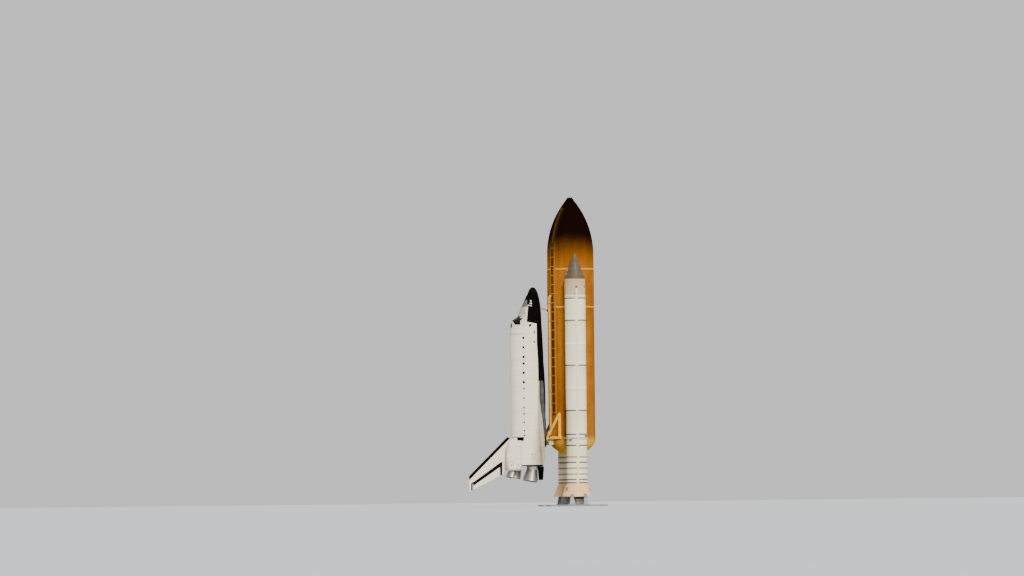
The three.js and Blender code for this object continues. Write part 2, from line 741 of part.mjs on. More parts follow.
// The orbiter's hull and wings, in the tank's frame, for the struts that reach them.
const orbiterShift = [0, -orbiter.offset, orbiter.noseZ];
const bellyCutter = hullCutter.translate(orbiterShift);
const wingCutter = joined(rightWing, leftWing).translate([0, 2 * seam - orbiter.offset, orbiter.noseZ]);
const aftMounts = [1, -1].map((side) => cutBy(aftMount(side), tankCutter, bellyCutter, wingCutter));
const mountCutter = joined(aftMount(1, seam), aftMount(-1, seam));
const line = cutBy(feedLine(), tankCutter, mountCutter, bellyCutter);
piece(tankGroup, "tank_feed_line", line, paint.foam);
piece(tankGroup, "tank_bipod", cutBy(bipod(), bellyCutter), paint.foam);
piece(tankGroup, "tank_aft_mount_right", aftMounts[0], paint.foam);
piece(tankGroup, "tank_aft_mount_left", aftMounts[1], paint.foam);
const beam = cutBy(crossbeam(), tankCutter, mountCutter, feedLine(seam), bellyCutter);
piece(tankGroup, "tank_crossbeam", beam, paint.foam);

// Boosters. Local origin on the booster's axis at the floor; built for starboard and mirrored for port.
const r = booster.radius;
const band = booster.bandRadius;
const bandHalf = 60;
// name, top, bottom, heights of the raised bands
const segments = [
  ["forward", 37287, 29159, []],
  ["fore_centre", 29159, 21031, []],
  ["aft_centre", 21031, 12903, []],
  ["aft", 12903, booster.caseEnd, [8800, 6745, 5755]],
];
function segmentProfile([name, top, bottom, bands], by = 0) {
  const foot = bottom + seam;
  const profile = [[0, top]];
  const field = name !== "forward";
  if (field) profile.push([band + by, top], [band + by, top - 110]);
  profile.push([r + by, field ? top - 110 : top]);
  bands.forEach((z) => {
    const [high, low] = [z + bandHalf, z - bandHalf];
    profile.push([r + by, high], [band + by, high], [band + by, low], [r + by, low]);
  });
  profile.push([r + by, foot]);
  if (name === "aft") profile.push([1650, foot], [1300, foot - 160], [760, 3871], [0, 3871]);
  else profile.push([0, foot]);
  return profile;
}

const noseProfile = [
  [0, booster.tip],
  [150, booster.tip - 60],
  [260, booster.tip - 220],
  [860, booster.capBase],
  [r, booster.frustumBase + seam],
  [0, booster.frustumBase + seam],
];
const foreSkirtProfile = [
  [0, booster.frustumBase],
  [r, booster.frustumBase],
  [r, 37700],
  [band + 10, 37700],
  [band + 10, 37560],
  [r, 37560],
  [r, booster.skirtJoint + seam],
  [0, booster.skirtJoint + seam],
];
function drum(radius, low, high) {
  return turned([[0, high], [radius, high], [radius, low], [0, low]], booster.sides);
}
const boosterCutter = joined(
  drum(r + seam, 4000, 40900),
  drum(band + 10 + seam, 37560, 37700),
  ...segments.map((s) => turned(segmentProfile(s, seam), booster.sides)),
);

// Aft skirt: a flared shell with four feet that stand on the posts.
const foot = { x: 2480, y: 1250, half: 330, height: 520 };
const skirtTop = booster.caseEnd;
function aftSkirt() {
  const shell = turned(
    [
      [1780, skirtTop],
      [r + 40, skirtTop],
      [r + 40, skirtTop - 220],
      [2620, skirtBase + 260],
      [2660, skirtBase + 240],
      [2660, skirtBase + 1],
      [2560, skirtBase + 1],
      [2500, skirtBase + 260],
      [1780, skirtTop - 300],
      [1780, skirtTop],
    ],
    booster.sides,
  );
  const feet = [];
  [-1, 1].forEach((sx) => {
    [-1, 1].forEach((sy) => {
      const section = (z, half) => {
        const corners = [[-half, -half], [half, -half], [half, half], [-half, half]];
        return corners.map(([x, y]) => [sx * foot.x + x, sy * foot.y + y, z]);
      };
      const lean = section(skirtBase + foot.height, 200).map(([x, y, z]) => [x - sx * 200, y - sy * 100, z]);
      const low = [skirtBase, skirtBase + 160].map((z) => section(z, foot.half));
      feet.push(loftSolid([...low, lean], [0, 1]));
    });
  });
  return joined(shell, ...feet);
}

// Nozzle, swinging about a point inside the skirt.
const nozzlePivot = 3250;
const nozzleBall = 620;
function boosterNozzle() {
  return turned(
    [
      [0, nozzlePivot + nozzleBall],
      [nozzleBall * 0.5, nozzlePivot + nozzleBall * 0.866],
      [nozzleBall * 0.866, nozzlePivot + nozzleBall * 0.5],
      [nozzleBall, nozzlePivot],
      [820, nozzlePivot - 380],
      [1180, nozzlePivot - 1150],
      [1560, nozzlePivot - 2050],
      [1900, 250],
      [1820, 250],
      [1480, nozzlePivot - 2050],
      [1090, nozzlePivot - 1150],
      [600, nozzlePivot - 380],
      [0, nozzlePivot - 300],
    ],
    booster.sides,
  );
}

// Ring and three struts that tie the booster's foot to the tank.
const strutZ = 12306;
function attachRing() {
  const ring = turned(
    [
      [r - 10, strutZ + 130],
      [r + 110, strutZ + 130],
      [r + 110, strutZ - 130],
      [r - 10, strutZ - 130],
      [r - 10, strutZ + 130],
    ],
    booster.sides,
  );
  const reach = booster.offset - 3200;
  const struts = [
    rod([-900, -1640, strutZ], [-reach, -1900, strutZ], 95, 8),
    rod([-900, 1640, strutZ], [-reach, 1900, strutZ], 95, 8),
    rod([-700, -1750, strutZ - 60], [-reach, 1500, strutZ - 330], 80, 8),
  ];
  const room = drum(r + 20, 9000, 14000);
  return joined(ring, ...struts.map((strut) => cutBy(strut, room)));
}

// Systems tunnel along the outboard side.
const tunnel = { angle: THREE.MathUtils.degToRad(1.5), half: 140, proud: 150, top: 39200, bottom: 4350 };
function systemsTunnel() {
  const box = new THREE.BoxGeometry(tunnel.proud + 60, tunnel.half * 2, tunnel.top - tunnel.bottom);
  box.translate(r - 60 + (tunnel.proud + 60) / 2, 0, (tunnel.top + tunnel.bottom) / 2).rotateZ(tunnel.angle);
  return solidOf(box);
}

// Frame and posts: each post leans out past the nozzle to its head under the skirt's foot.
function holdDownStand() {
  const { inner, outer, reach, cross, thick } = stand;
  const plate = block(-outer, outer, -reach, reach, 0, thick);
  const frame = cutBy(plate, block(-inner, inner, cross - reach, reach - cross, -1, thick + 1));
  const posts = [];
  [-1, 1].forEach((sx) => {
    [-1, 1].forEach((sy) => {
      const section = (z, x0, x1, y0, y1) =>
        [[x0, y0], [x1, y0], [x1, y1], [x0, y1]].map(([x, y]) => [sx * x, sy * y, z]);
      posts.push(
        loftSolid(
          [
            section(thick - 100, 2380, 3220, 760, 1740),
            section(thick, 2380, 3220, 760, 1740),
            section(postHeight - 260, 2200, 2800, 950, 1550),
            section(postHeight - 200, 2150, 2810, 920, 1580),
            section(postHeight - seam, 2150, 2810, 920, 1580),
          ],
          [0, 1],
        ),
      );
    });
  });
  return joined(frame, ...posts);
}

// Thrust fitting between the forward skirt and the intertank.
const thrustZ = 39500;
function thrustFitting() {
  return block(-booster.offset + 4100, -r + 120, -260, 260, thrustZ - 330, thrustZ + 330);
}

const shiftedTank = tankCutter.translate([-booster.offset, 0, 0]);
const ringPiece = attachRing();
const tunnelPiece = systemsTunnel();
const ringCutter = drum(r + 111, strutZ - 131, strutZ + 131);
const boosterPieces = [
  ["nose", turned(noseProfile, booster.sides)],
  ["forward_skirt", cutBy(joined(turned(foreSkirtProfile, booster.sides), thrustFitting()), shiftedTank)],
  ...segments.map((s) => ["segment_" + s[0], turned(segmentProfile(s), booster.sides)]),
  ["attach_ring", cutBy(ringPiece, shiftedTank, boosterCutter)],
  ["tunnel", cutBy(tunnelPiece, boosterCutter, ringCutter)],
  ["aft_skirt", aftSkirt()],
  ["nozzle", boosterNozzle()],
  ["stand", holdDownStand()],
];
const boosterFinish = { nozzle: paint.bell, attach_ring: paint.steel, stand: paint.steel };
Object.entries(boosterGroups).forEach(([side, group]) => {
  boosterPieces.forEach(([name, solid]) => {
    const shape = side === "right" ? solid : solid.mirror([1, 0, 0]);
    piece(group, `booster_${side}_${name}`, shape, boosterFinish[name] ?? paint.booster);
  });
});

stack.scale.setScalar(modelScale);
export default stack;
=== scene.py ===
from math import asin, atan, atan2, copysign, cos, degrees, hypot, pi, radians, sin, sqrt

import bmesh
import bpy
from mathutils import Matrix, Vector


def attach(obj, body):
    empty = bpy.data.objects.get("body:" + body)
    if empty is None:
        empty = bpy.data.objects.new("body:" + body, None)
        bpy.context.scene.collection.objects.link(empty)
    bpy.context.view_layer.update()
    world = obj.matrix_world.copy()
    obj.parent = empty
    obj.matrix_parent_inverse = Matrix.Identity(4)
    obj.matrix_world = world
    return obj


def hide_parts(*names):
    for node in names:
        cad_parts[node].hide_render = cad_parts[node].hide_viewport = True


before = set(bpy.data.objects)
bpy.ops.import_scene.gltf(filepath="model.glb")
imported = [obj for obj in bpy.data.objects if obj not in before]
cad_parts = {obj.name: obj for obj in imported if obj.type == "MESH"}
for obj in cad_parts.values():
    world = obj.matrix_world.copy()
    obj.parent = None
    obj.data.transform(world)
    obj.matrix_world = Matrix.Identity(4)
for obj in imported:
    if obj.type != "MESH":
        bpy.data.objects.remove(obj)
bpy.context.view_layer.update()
print("frame loaded:", len(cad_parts), "nodes")

# The whole stack, in real metres; everything is made at half of that.
real = 0.5
stack = {
    "tankY": 6.8285,  # tank's axis, fore and aft of the origin
    "orbiterY": -1.7185,  # payload bay's centreline
    "noseZ": 39.764,  # orbiter's nose tip above the floor
}

# Camera and studio. Height, distance and lens reproduce the photograph's long, slightly rising view.
shot = {
    "fromBack": 7.0,  # degrees towards the orbiter's back, off the starboard side
    "distance": 700.0,
    "height": 0.5,
    "aim": (0.0, 3.41425, 19.83),
    "aimPixel": 570.6,  # across; the middle of the picture's height
    "pixelsPerMetre": 11.038,
    "roll": -0.62,
    "keyStrength": 4.4,
    "fillStrength": 0.9,
    "sky": (0.84, 0.84, 0.845),
    "sensor": 36,  # millimetres
    "pixels": 1024,  # the photograph's width
}


def makeCamera():
    away = radians(shot["fromBack"])
    aim = Vector(shot["aim"])
    side = Vector((cos(away), -sin(away), 0))
    place = aim + side * shot["distance"]
    place.z = shot["height"]
    data = bpy.data.cameras.new("camera")
    data.sensor_width = shot["sensor"]
    data.lens = shot["sensor"] * shot["distance"] * shot["pixelsPerMetre"] / shot["pixels"]
    data.clip_start = 10
    data.clip_end = 5000
    camera = bpy.data.objects.new("camera", data)
    # Turn from the aim so that the aim lands on its pixel, then add the roll.
    focal = data.lens / shot["sensor"] * shot["pixels"]
    right = atan((shot["aimPixel"] - shot["pixels"] / 2) / focal)
    look = (aim - place).normalized()
    look.rotate(Matrix.Rotation(right, 3, "Z"))
    turn = look.to_track_quat("-Z", "Y")
    camera.rotation_euler = (turn.to_matrix() @ Matrix.Rotation(radians(shot["roll"]), 3, "Z")).to_euler()
    camera.location = place
    bpy.context.collection.objects.link(camera)
    bpy.context.scene.camera = camera
    print("camera lens", round(data.lens, 1))


def makeStudio():
    bm = bmesh.new()
    bmesh.ops.create_grid(bm, x_segments=1, y_segments=1, size=2400)
    mesh = bpy.data.meshes.new("floor")
    bm.to_mesh(mesh)
    bm.free()
    floor = bpy.data.objects.new("floor", mesh)
    bpy.context.collection.objects.link(floor)
    shade = Shade("floor")
    grain = shade.noise(0.4, 4)
    shade.finish(shade.blend(grain, (0.62, 0.63, 0.65), (0.68, 0.69, 0.71)), rough=0.85)
    floor.data.materials.append(shade.material)
    world = bpy.data.worlds.new("studio")
    world.use_nodes = True
    world.node_tree.nodes["Background"].inputs["Color"].default_value = (*shot["sky"], 1)
    world.node_tree.nodes["Background"].inputs["Strength"].default_value = shot["fillStrength"]
    bpy.context.scene.world = world
    for name, strength, angle, turn in (
        ("key", shot["keyStrength"], 14, (62, 0, 94)),
        ("rim", shot["keyStrength"] * 0.14, 40, (70, 0, 170)),
    ):
        data = bpy.data.lights.new(name, "SUN")
        data.energy = strength
        data.angle = radians(angle)
        light = bpy.data.objects.new(name, data)
        light.rotation_euler = [radians(v) for v in turn]
        bpy.context.collection.objects.link(light)


def operator(operation, swapped=False):
    return lambda self, other: self.shade.maths(operation, *((other, self) if swapped else (self, other)))


# Shader maths: a number that changes over the surface, written with the usual operators.
class Varying:
    def __init__(self, shade, socket):
        self.shade = shade
        self.socket = socket

    def __abs__(self):
        return self.shade.maths("ABSOLUTE", self)

    __add__ = operator("ADD")
    __radd__ = operator("ADD", True)
    __sub__ = operator("SUBTRACT")
    __rsub__ = operator("SUBTRACT", True)
    __mul__ = operator("MULTIPLY")
    __rmul__ = operator("MULTIPLY", True)
    __truediv__ = operator("DIVIDE")
    __mod__ = operator("FLOORED_MODULO")


class Shade:
    def __init__(self, name):
        self.material = bpy.data.materials.new(name)
        self.material.use_nodes = True
        self.tree = self.material.node_tree
        self.shader = self.tree.nodes["Principled BSDF"]
        self.texture = self.node("ShaderNodeTexCoord")

    def node(self, kind, settings=None, inputs=None):
        made = self.tree.nodes.new(kind)
        for key, value in (settings or {}).items():
            setattr(made, key, value)
        for key, value in (inputs or {}).items():
            self.link(value, made.inputs[key])
        return made

    def link(self, value, socket):
        if isinstance(value, (Varying, bpy.types.NodeSocket)):
            self.tree.links.new(getattr(value, "socket", value), socket)
        elif isinstance(value, tuple) and len(value) == 3 and socket.type == "RGBA":
            socket.default_value = (*value, 1)
        else:
            socket.default_value = value

    def maths(self, operation, *values):
        made = self.node("ShaderNodeMath", {"operation": operation}, dict(enumerate(values)))
        return Varying(self, made.outputs[0])

    def low(self, first, *others):
        for other in others:
            first = self.maths("MINIMUM", first, other)
        return first

    def high(self, first, *others):
        for other in others:
            first = self.maths("MAXIMUM", first, other)
        return first

    def whole(self, a):
        return self.maths("FLOOR", a)

    def ease(self, value, start, end):
        made = self.node(
            "ShaderNodeMapRange",
            {"interpolation_type": "SMOOTHSTEP"},
            {"Value": value, "From Min": start, "From Max": end},
        )
        return Varying(self, made.outputs["Result"])

    # The point's place in real metres: across, fore and aft, up.
    def place(self):
        parts = self.node("ShaderNodeSeparateXYZ", None, {0: self.stretched((1 / real,) * 3)})
        return [Varying(self, parts.outputs[i]) for i in range(3)]

    def facing(self):
        parts = self.node("ShaderNodeSeparateXYZ", None, {0: self.texture.outputs["Normal"]})
        return [Varying(self, parts.outputs[i]) for i in range(3)]

    def stretched(self, scale):
        made = self.node(
            "ShaderNodeMapping", None, {"Vector": self.texture.outputs["Object"], "Scale": scale}
        )
        return made.outputs["Vector"]

    def join(self, x, y, z):
        return self.node("ShaderNodeCombineXYZ", None, {0: x, 1: y, 2: z}).outputs[0]

    def noise(self, scale, detail=3, vector=None):
        made = self.node(
            "ShaderNodeTexNoise",
            None,
            {
                "Vector": vector or self.texture.outputs["Object"],
                "Scale": scale,
                "Detail": detail,
                "Roughness": 0.55,
            },
        )
        return Varying(self, made.outputs["Fac"])

    def chance(self, vector):
        made = self.node("ShaderNodeTexWhiteNoise", {"noise_dimensions": "3D"}, {"Vector": vector})
        return Varying(self, made.outputs["Value"])

    # From colour a to colour b; 6, 7 and 2 are the node's colour sockets.
    def blend(self, factor, a, b):
        made = self.node(
            "ShaderNodeMix", {"data_type": "RGBA", "clamp_factor": True}, {0: factor, 6: a, 7: b}
        )
        return made.outputs[2]

    def line(self, value, at, half, soft=0.3):
        return 1 - self.ease(abs(value - at), half * (1 - soft), half * (1 + soft))

    def repeat(self, value, pitch, half):
        return self.ease(abs(value % pitch - pitch / 2), pitch / 2 - half * 1.3, pitch / 2 - half * 0.7)

    def finish(self, colour, rough=0.6, metal=0.0, height=None, depth=0.01, sheen=0.5):
        self.link(colour, self.shader.inputs["Base Color"])
        self.link(rough, self.shader.inputs["Roughness"])
        self.link(metal, self.shader.inputs["Metallic"])
        self.shader.inputs["Specular IOR Level"].default_value = sheen
        if height is not None:
            bump = self.node("ShaderNodeBump", None, {"Height": height, "Distance": depth, "Strength": 1.0})
            self.tree.links.new(bump.outputs["Normal"], self.shader.inputs["Normal"])
        return self.material


# Shapes. Every part is made in real metres; a piece gathers parts and is halved when it is kept.
def lathed(profile, steps, closed=False):
    bm = bmesh.new()
    line = [bm.verts.new((r, 0, h)) for r, h in profile]
    edges = [bm.edges.new(pair) for pair in zip(line, line[1:] + (line[:1] if closed else []))]
    bmesh.ops.spin(
        bm, geom=line + edges, cent=(0, 0, 0), axis=(0, 0, 1), angle=2 * pi, steps=steps, use_merge=True
    )
    return tidied(bm)


def tidied(bm):
    bmesh.ops.remove_doubles(bm, verts=bm.verts, dist=1e-4)
    bmesh.ops.recalc_face_normals(bm, faces=bm.faces)
    return bm


def bevelled(bm, edges, offset, segments=1):
    bmesh.ops.bevel(
        bm, geom=edges, offset=offset, affect="EDGES", segments=segments, profile=0.5, material=-1
    )
    return bm


def boxed(size, bevel=0.02, segments=1):
    bm = bmesh.new()
    bmesh.ops.create_cube(bm, size=1)
    bmesh.ops.scale(bm, vec=size, verts=bm.verts)
    return bevelled(bm, bm.edges[:], bevel, segments) if bevel else bm


def collar(inner, outer, half, steps=24, slant=0.02):
    return lathed([(inner, -half), (outer, slant - half), (outer, half - slant), (inner, half)], steps)


# A thruster port: its raised rim, and depths on the way to its middle.
def portRim(size, foot, depths):
    rim = [(size + 0.035, foot), (size + 0.03, 0.014), (size, 0.016)]
    return lathed(rim + list(zip((size * 0.8, size * 0.5, 0), depths)), 24)


# Points given by their distance from one point.
def near(r, z, *steps):
    return [(r + a, z + b) for a, b in steps]


def nut(high):
    return lathed([(0, high), (0.04, high), (0.05, high - 0.02), (0.05, 0), (0, 0)], 6)


# Closed rings of equal count, skinned in order over a grid, with both ends filled.
def lofted(rings):
    bm = bmesh.new()
    wide = len(rings[0]) + 1
    bmesh.ops.create_grid(bm, x_segments=wide - 1, y_segments=len(rings) - 1, size=1)
    for i, vert in enumerate(bm.verts[:]):
        ring = rings[i // wide]
        vert.co = ring[i % wide % len(ring)]
    bmesh.ops.remove_doubles(bm, verts=bm.verts, dist=1e-4)
    bmesh.ops.holes_fill(bm, edges=[e for e in bm.edges if e.is_boundary], sides=0)
    return tidied(bm)


def tubed(points, radius, sides):
    rings = []
    for i, point in enumerate(points):
        along = points[min(i + 1, len(points) - 1)] - points[max(i - 1, 0)]
        across = along.orthogonal().normalized() if i == 0 else (across - across.project(along)).normalized()
        other = along.normalized().cross(across)
        turn = [2 * pi * k / sides for k in range(sides)]
        rings.append([point + (across * cos(a) + other * sin(a)) * radius for a in turn])
    return lofted(rings)


# Rows filled in smoothly between the rows of a table, with no overshoot.
def refined(table, parts):
    def slope(i, c):
        if i == 0 or i == len(table) - 1:
            return None
        a = (table[i][c] - table[i - 1][c]) / (table[i][0] - table[i - 1][0])
        b = (table[i + 1][c] - table[i][c]) / (table[i + 1][0] - table[i][0])
        return 0.0 if a * b <= 0 else 2 * a * b / (a + b)

    rows = []
    for i in range(len(table) - 1):
        span = table[i + 1][0] - table[i][0]
        for k in range(parts):
            t = k / parts
            row = [table[i][0] + span * t]
            for c in range(1, len(table[0])):
                rise = (table[i + 1][c] - table[i][c]) / span
                m0, m1 = (rise if slope(j, c) is None else slope(j, c) for j in (i, i + 1))
                h = t * t * (3 - 2 * t)
                bend = (t**3 - 2 * t**2 + t) * m0 + (t**3 - t**2) * m1
                row.append(table[i][c] * (1 - h) + table[i + 1][c] * h + bend * span)
            rows.append(row)
    return rows + [list(table[-1])]


# A part with tools cut out of it.
def carved(part, *tools):
    items = []
    for bm in (part, *tools):
        mesh = bpy.data.meshes.new("part")
        bm.to_mesh(mesh)
        bm.free()
        items.append(bpy.data.objects.new("part", mesh))
        bpy.context.collection.objects.link(items[-1])
    for tool in items[1:]:
        cut = items[0].modifiers.new("cut", "BOOLEAN")
        cut.operation = "DIFFERENCE"
        cut.solver = "EXACT"
        cut.object = tool
    made = bmesh.new()
    made.from_mesh(items[0].evaluated_get(bpy.context.evaluated_depsgraph_get()).to_mesh())
    for item in items:
        bpy.data.meshes.remove(item.data)
    return made


def moved(x=0.0, y=0.0, z=0.0):
    return Matrix.Translation((x, y, z))


def turned(angle, axis="Z"):
    return Matrix.Rotation(radians(angle), 4, axis)


# A matrix whose Z looks along a direction.
def looking(place, along):
    return Matrix.Translation(place) @ Vector(along).to_track_quat("Z", "Y").to_matrix().to_4x4()


def shifted(part, matrix):
    bmesh.ops.transform(part, matrix=matrix, verts=part.verts)
    return part


class Piece:
    def __init__(self):
        self.bm = bmesh.new()

    def add(self, part, matrix=None, material=0):
        if matrix is not None:
            shifted(part, matrix)
            if matrix.determinant() < 0:
                bmesh.ops.reverse_faces(part, faces=part.faces)
        for face in part.faces:
            face.material_index = material
        mesh = bpy.data.meshes.new("part")
        part.to_mesh(mesh)
        part.free()
        self.bm.from_mesh(mesh)
        bpy.data.meshes.remove(mesh)
        return self

    def spin(self, profile, steps, matrix=None, material=0, closed=False):
        return self.add(lathed(profile, steps, closed), matrix, material)

    def box(self, size, bevel, matrix, material=0, segments=1):
        return self.add(boxed(size, bevel, segments), matrix, material)

    def loft(self, rings, material=0):
        return self.add(lofted(rings), None, material)

    def tube(self, points, radius, sides, material=0):
        return self.add(tubed(points, radius, sides), None, material)

    def keep(self, name, body, slot, materials, stands=(), angle=32):
        bm = self.bm
        bmesh.ops.scale(bm, vec=(real, real, real), verts=bm.verts)
        for face in bm.faces:
            face.smooth = True
        for edge in bm.edges:
            edge.smooth = edge.calc_face_angle(0) < radians(angle)
        mesh = bpy.data.meshes.new(name)
        bm.to_mesh(mesh)
        bm.free()
        for material in materials:
            mesh.materials.append(material)
        made = bpy.data.objects.new(name, mesh)
        bpy.context.collection.objects.link(made)
        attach(made, body)
        if stands:
            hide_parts(*stands)
        return made


# A point in the orbiter's own axes, and the matrix that moves a part there.
def at(side, up, aft):
    return Vector((side, stack["orbiterY"] - up, stack["noseZ"] - aft))


def placed(side, up, aft):
    return Matrix.Translation(at(side, up, aft))


# The row of a table at a value between two of its rows.
def between(rows, value):
    for a, b in zip(rows, rows[1:]):
        if a[0] <= value <= b[0] + 1e-6:
            t = (value - a[0]) / (b[0] - a[0])
            return [p + (q - p) * t for p, q in zip(a, b)]
    return rows[-1]


makeCamera()
makeStudio()
print("camera and studio ready")


# Painted or bare metal: brush marks, darker patches and small rusty chips.
def steelMaterial(name, colour, metal=0.6, rough=0.45, rust=0.25):
    shade = Shade(name)
    broad = shade.noise(1.6, 4)
    brush = shade.noise(1.0, 3, shade.stretched((40, 40, 4)))
    chips = shade.ease(shade.noise(7.0, 5), 0.62, 0.7)
    dark = tuple(0.62 * c for c in colour)
    mixed = shade.blend(shade.ease(broad + brush * 0.3, 0.45, 0.9), dark, colour)
    mixed = shade.blend(chips * rust, mixed, (0.17, 0.09, 0.05))
    return shade.finish(
        mixed, rough=rough + broad * 0.2 + chips * 0.2, metal=metal, height=brush * 0.3 + chips * -0.5,
        depth=0.004,
    )


# Sprayed foam: knit lines round the tank and blotches. Painted light from the lamps below makes it paler low
# down; painted shade, with a little aged foam, makes it nearly black at the tip.
foam = {
    "fresh": (0.335, 0.113, 0.008),
    "aged": (0.225, 0.065, 0.004),
    # Painted shade, with a little aged foam: the foam turns nearly black towards the tip.
    "tip": (0.006, 0.0018, 0.0012),
    "pale": (0.86, 0.42, 0.05),
    "tipStart": 42.0,
    "tipEnd": 49.4,
    "knit": 0.32,
    # Painted light from the lamps below: paler foam under one height, and on the orbiter's side under
    # another.
    "paleBelow": (13.0, 1.6, 0.6),  # height, how softly it ends, how much
    "paleFront": (17.5, 3.5, 0.45),  # the same on the orbiter's side
}


def foamMaterial(name, rings=(), tint=0.0, dark=True, grain=1.0):
    shade = Shade(name)
    y, z = shade.place()[1:]
    blotch = shade.noise(0.9, 4)
    streak = shade.noise(1.0, 3, shade.stretched((2.6, 2.6, 0.12)))
    wave = z + shade.noise(0.5, 2) * 0.25
    knit = shade.repeat(wave, foam["knit"], 0.035)
    fine = shade.noise(9.0, 5)
    colour = shade.blend(shade.ease(blotch * 0.6 + streak * 0.5, 0.3, 0.8), foam["aged"], foam["fresh"])
    colour = shade.blend(knit * 0.14, colour, foam["aged"])
    colour = shade.blend(shade.ease(fine, 0.45, 0.75) * 0.12, colour, foam["pale"])
    if dark:
        # Painted light from below: paler foam low down, and up to a greater height on the orbiter's side.
        (low, lowSoft, lowShare), (high, highSoft, highShare) = foam["paleBelow"], foam["paleFront"]
        front = shade.ease(stack["tankY"] - 3.0 - y, 0.0, 0.8)
        pale = shade.ease(high - z, 0.0, highSoft) * front * highShare
        pale = shade.high(shade.ease(low - z, 0.0, lowSoft) * lowShare, pale)
        colour = shade.blend(pale, colour, foam["pale"])
        # Painted shade towards the tip, with a little aged foam; the tint fades into it.
        up = shade.ease(z + (blotch - 0.5) * 2.0, foam["tipStart"], foam["tipEnd"])
        colour = shade.blend(up, colour, foam["tip"])
        tint = tint * (1 - up * 0.92)
    for at0 in rings:
        colour = shade.blend(shade.line(z, at0, 0.09) * 0.8, colour, foam["pale"])
    colour = shade.blend(tint, colour, foam["pale"])
    height = fine * 0.6 + blotch + knit * -0.35
    return shade.finish(colour, rough=0.78 + fine * 0.15, height=height, depth=0.012 * grain, sheen=0.0)


tank = {
    "radius": 4.21,
    "flange": 4.24,
    "coneTop": 55.943,
    "coneBase": 55.156,
    "ogiveBase": 45.656,
    "ogiveRadius": 15.54,
    "oxygenBase": 42.918,
    "intertankBase": 36.051,
    "barrelBase": 12.306,
    "apex": 9.385,
    "stringers": 108,
    "stringerProud": 0.028,
    "rings": (31.1, 25.9, 20.5, 16.2),
}


def ogiveRadius(z):
    if z <= tank["ogiveBase"]:
        return tank["radius"]
    drop = z - tank["ogiveBase"]
    return tank["radius"] - tank["ogiveRadius"] + sqrt(tank["ogiveRadius"] ** 2 - drop * drop)


# Oxygen tank: flange, barrel, ogive, cone with two hoods, and lightning spike
def makeOxygenTank(skin, axis):
    radius, flange = tank["radius"], tank["flange"]
    metal = steelMaterial("spike_metal", (0.35, 0.33, 0.30))
    low = tank["oxygenBase"]
    profile = [
        (0, low), (flange - 0.02, low), (flange, low + 0.03), (flange, low + 0.13), (radius, low + 0.2)
    ]
    profile += [(radius, low + 1.4), (radius, tank["ogiveBase"])]
    for i in range(1, 33):
        z = tank["ogiveBase"] + (tank["coneBase"] - tank["ogiveBase"]) * i / 32
        profile.append((ogiveRadius(z), z))
    cone = profile[-1][0]
    profile += [(cone - 0.03, tank["coneBase"] + 0.02), (0.43, tank["coneTop"]), (0, tank["coneTop"])]
    piece = Piece().spin(profile, 144, axis)
    piece.spin([
        (0, 0), (0.13, 0), (0.1, 0.12), (0.06, 0.16), (0.045, 0.4), (0, 0.445)
    ], 24, axis @ moved(z=tank["coneTop"]), 1)
    for side in (-1, 1):
        hood = boxed((0.5, 0.34, 0.5), 0.06, 3)
        lean = degrees(atan2(cone - 0.43, tank["coneTop"] - tank["coneBase"]))
        piece.add(hood, axis @ moved(x=side * 0.72, z=tank["coneBase"] + 0.32) @ turned(-side * lean, "Y"))
    piece.keep("tank_oxygen_skin", "stack", "foam", [skin, metal], ["tank_oxygen"])


# Intertank: hat stringers between two flanges, ribs at the boosters' sides and an access door
def makeIntertank(skin, axis):
    radius, flange = tank["radius"], tank["flange"]
    low, high = tank["intertankBase"], tank["oxygenBase"]
    ring = radius + 0.012
    profile = [(0, low), (flange, low), (flange, low + 0.12), (ring, low + 0.2), (ring, low + 0.5)]
    profile += [(ring, low + k) for k in (1.9, 3.3, 4.9, 5.9)]
    profile += [(ring, high - 0.5), (ring, high - 0.2), (flange, high - 0.12), (flange, high), (0, high)]
    part = lathed(profile, tank["stringers"] * 6)
    for vert in part.verts:
        phase = (atan2(vert.co.y, vert.co.x) / (2 * pi) * tank["stringers"]) % 1
        if low + 0.45 < vert.co.z < high - 0.45 and 0.2 < phase < 0.72:
            out = Vector((vert.co.x, vert.co.y, 0)).normalized()
            vert.co += out * tank["stringerProud"]
    piece = Piece().add(part, axis)
    for side in (-1, 1):
        for k in range(-3, 4):
            rib = boxed((0.07, 0.12, 4.4), 0.02)
            piece.add(rib, axis @ turned(k * 3.4 + (0 if side > 0 else 180)) @ moved(x=radius + 0.04, z=38.9))
    door = boxed((0.06, 1.15, 1.35), 0.05, 3)
    piece.add(door, axis @ turned(118) @ moved(x=radius + 0.02, z=38.6))
    piece.keep("tank_intertank_skin", "stack", "foam", [skin], ["tank_intertank"])


# Hydrogen tank: barrels with low ring lands, then the aft dome with two covers
def makeHydrogenTank(skin, axis):
    radius, flange = tank["radius"], tank["flange"]
    high = tank["intertankBase"]
    profile = [(0, high), (flange, high), (flange, high - 0.12), (radius, high - 0.2)]
    for z in tank["rings"]:
        profile += near(radius, z, (0, 0.14), (0.008, 0.08), (0.008, -0.08), (0, -0.14))
    depth = tank["barrelBase"] - tank["apex"]
    for i in range(25):
        angle = pi / 2 * i / 24
        profile.append((max(radius * cos(angle), 0), tank["barrelBase"] - depth * sin(angle)))
    piece = Piece().spin(profile, 144, axis)
    for turn in (60, 240):
        cover = lathed([(0, 0.06), (0.42, 0.06), (0.45, 0.03), (0.45, -0.05), (0, -0.05)], 32)
        piece.add(
            cover, axis @ turned(turn) @ moved(x=1.5, z=tank["barrelBase"] - depth * 0.935) @ turned(160, "Y")
        )
    piece.keep("tank_hydrogen_skin", "stack", "foam", [skin], ["tank_hydrogen"])


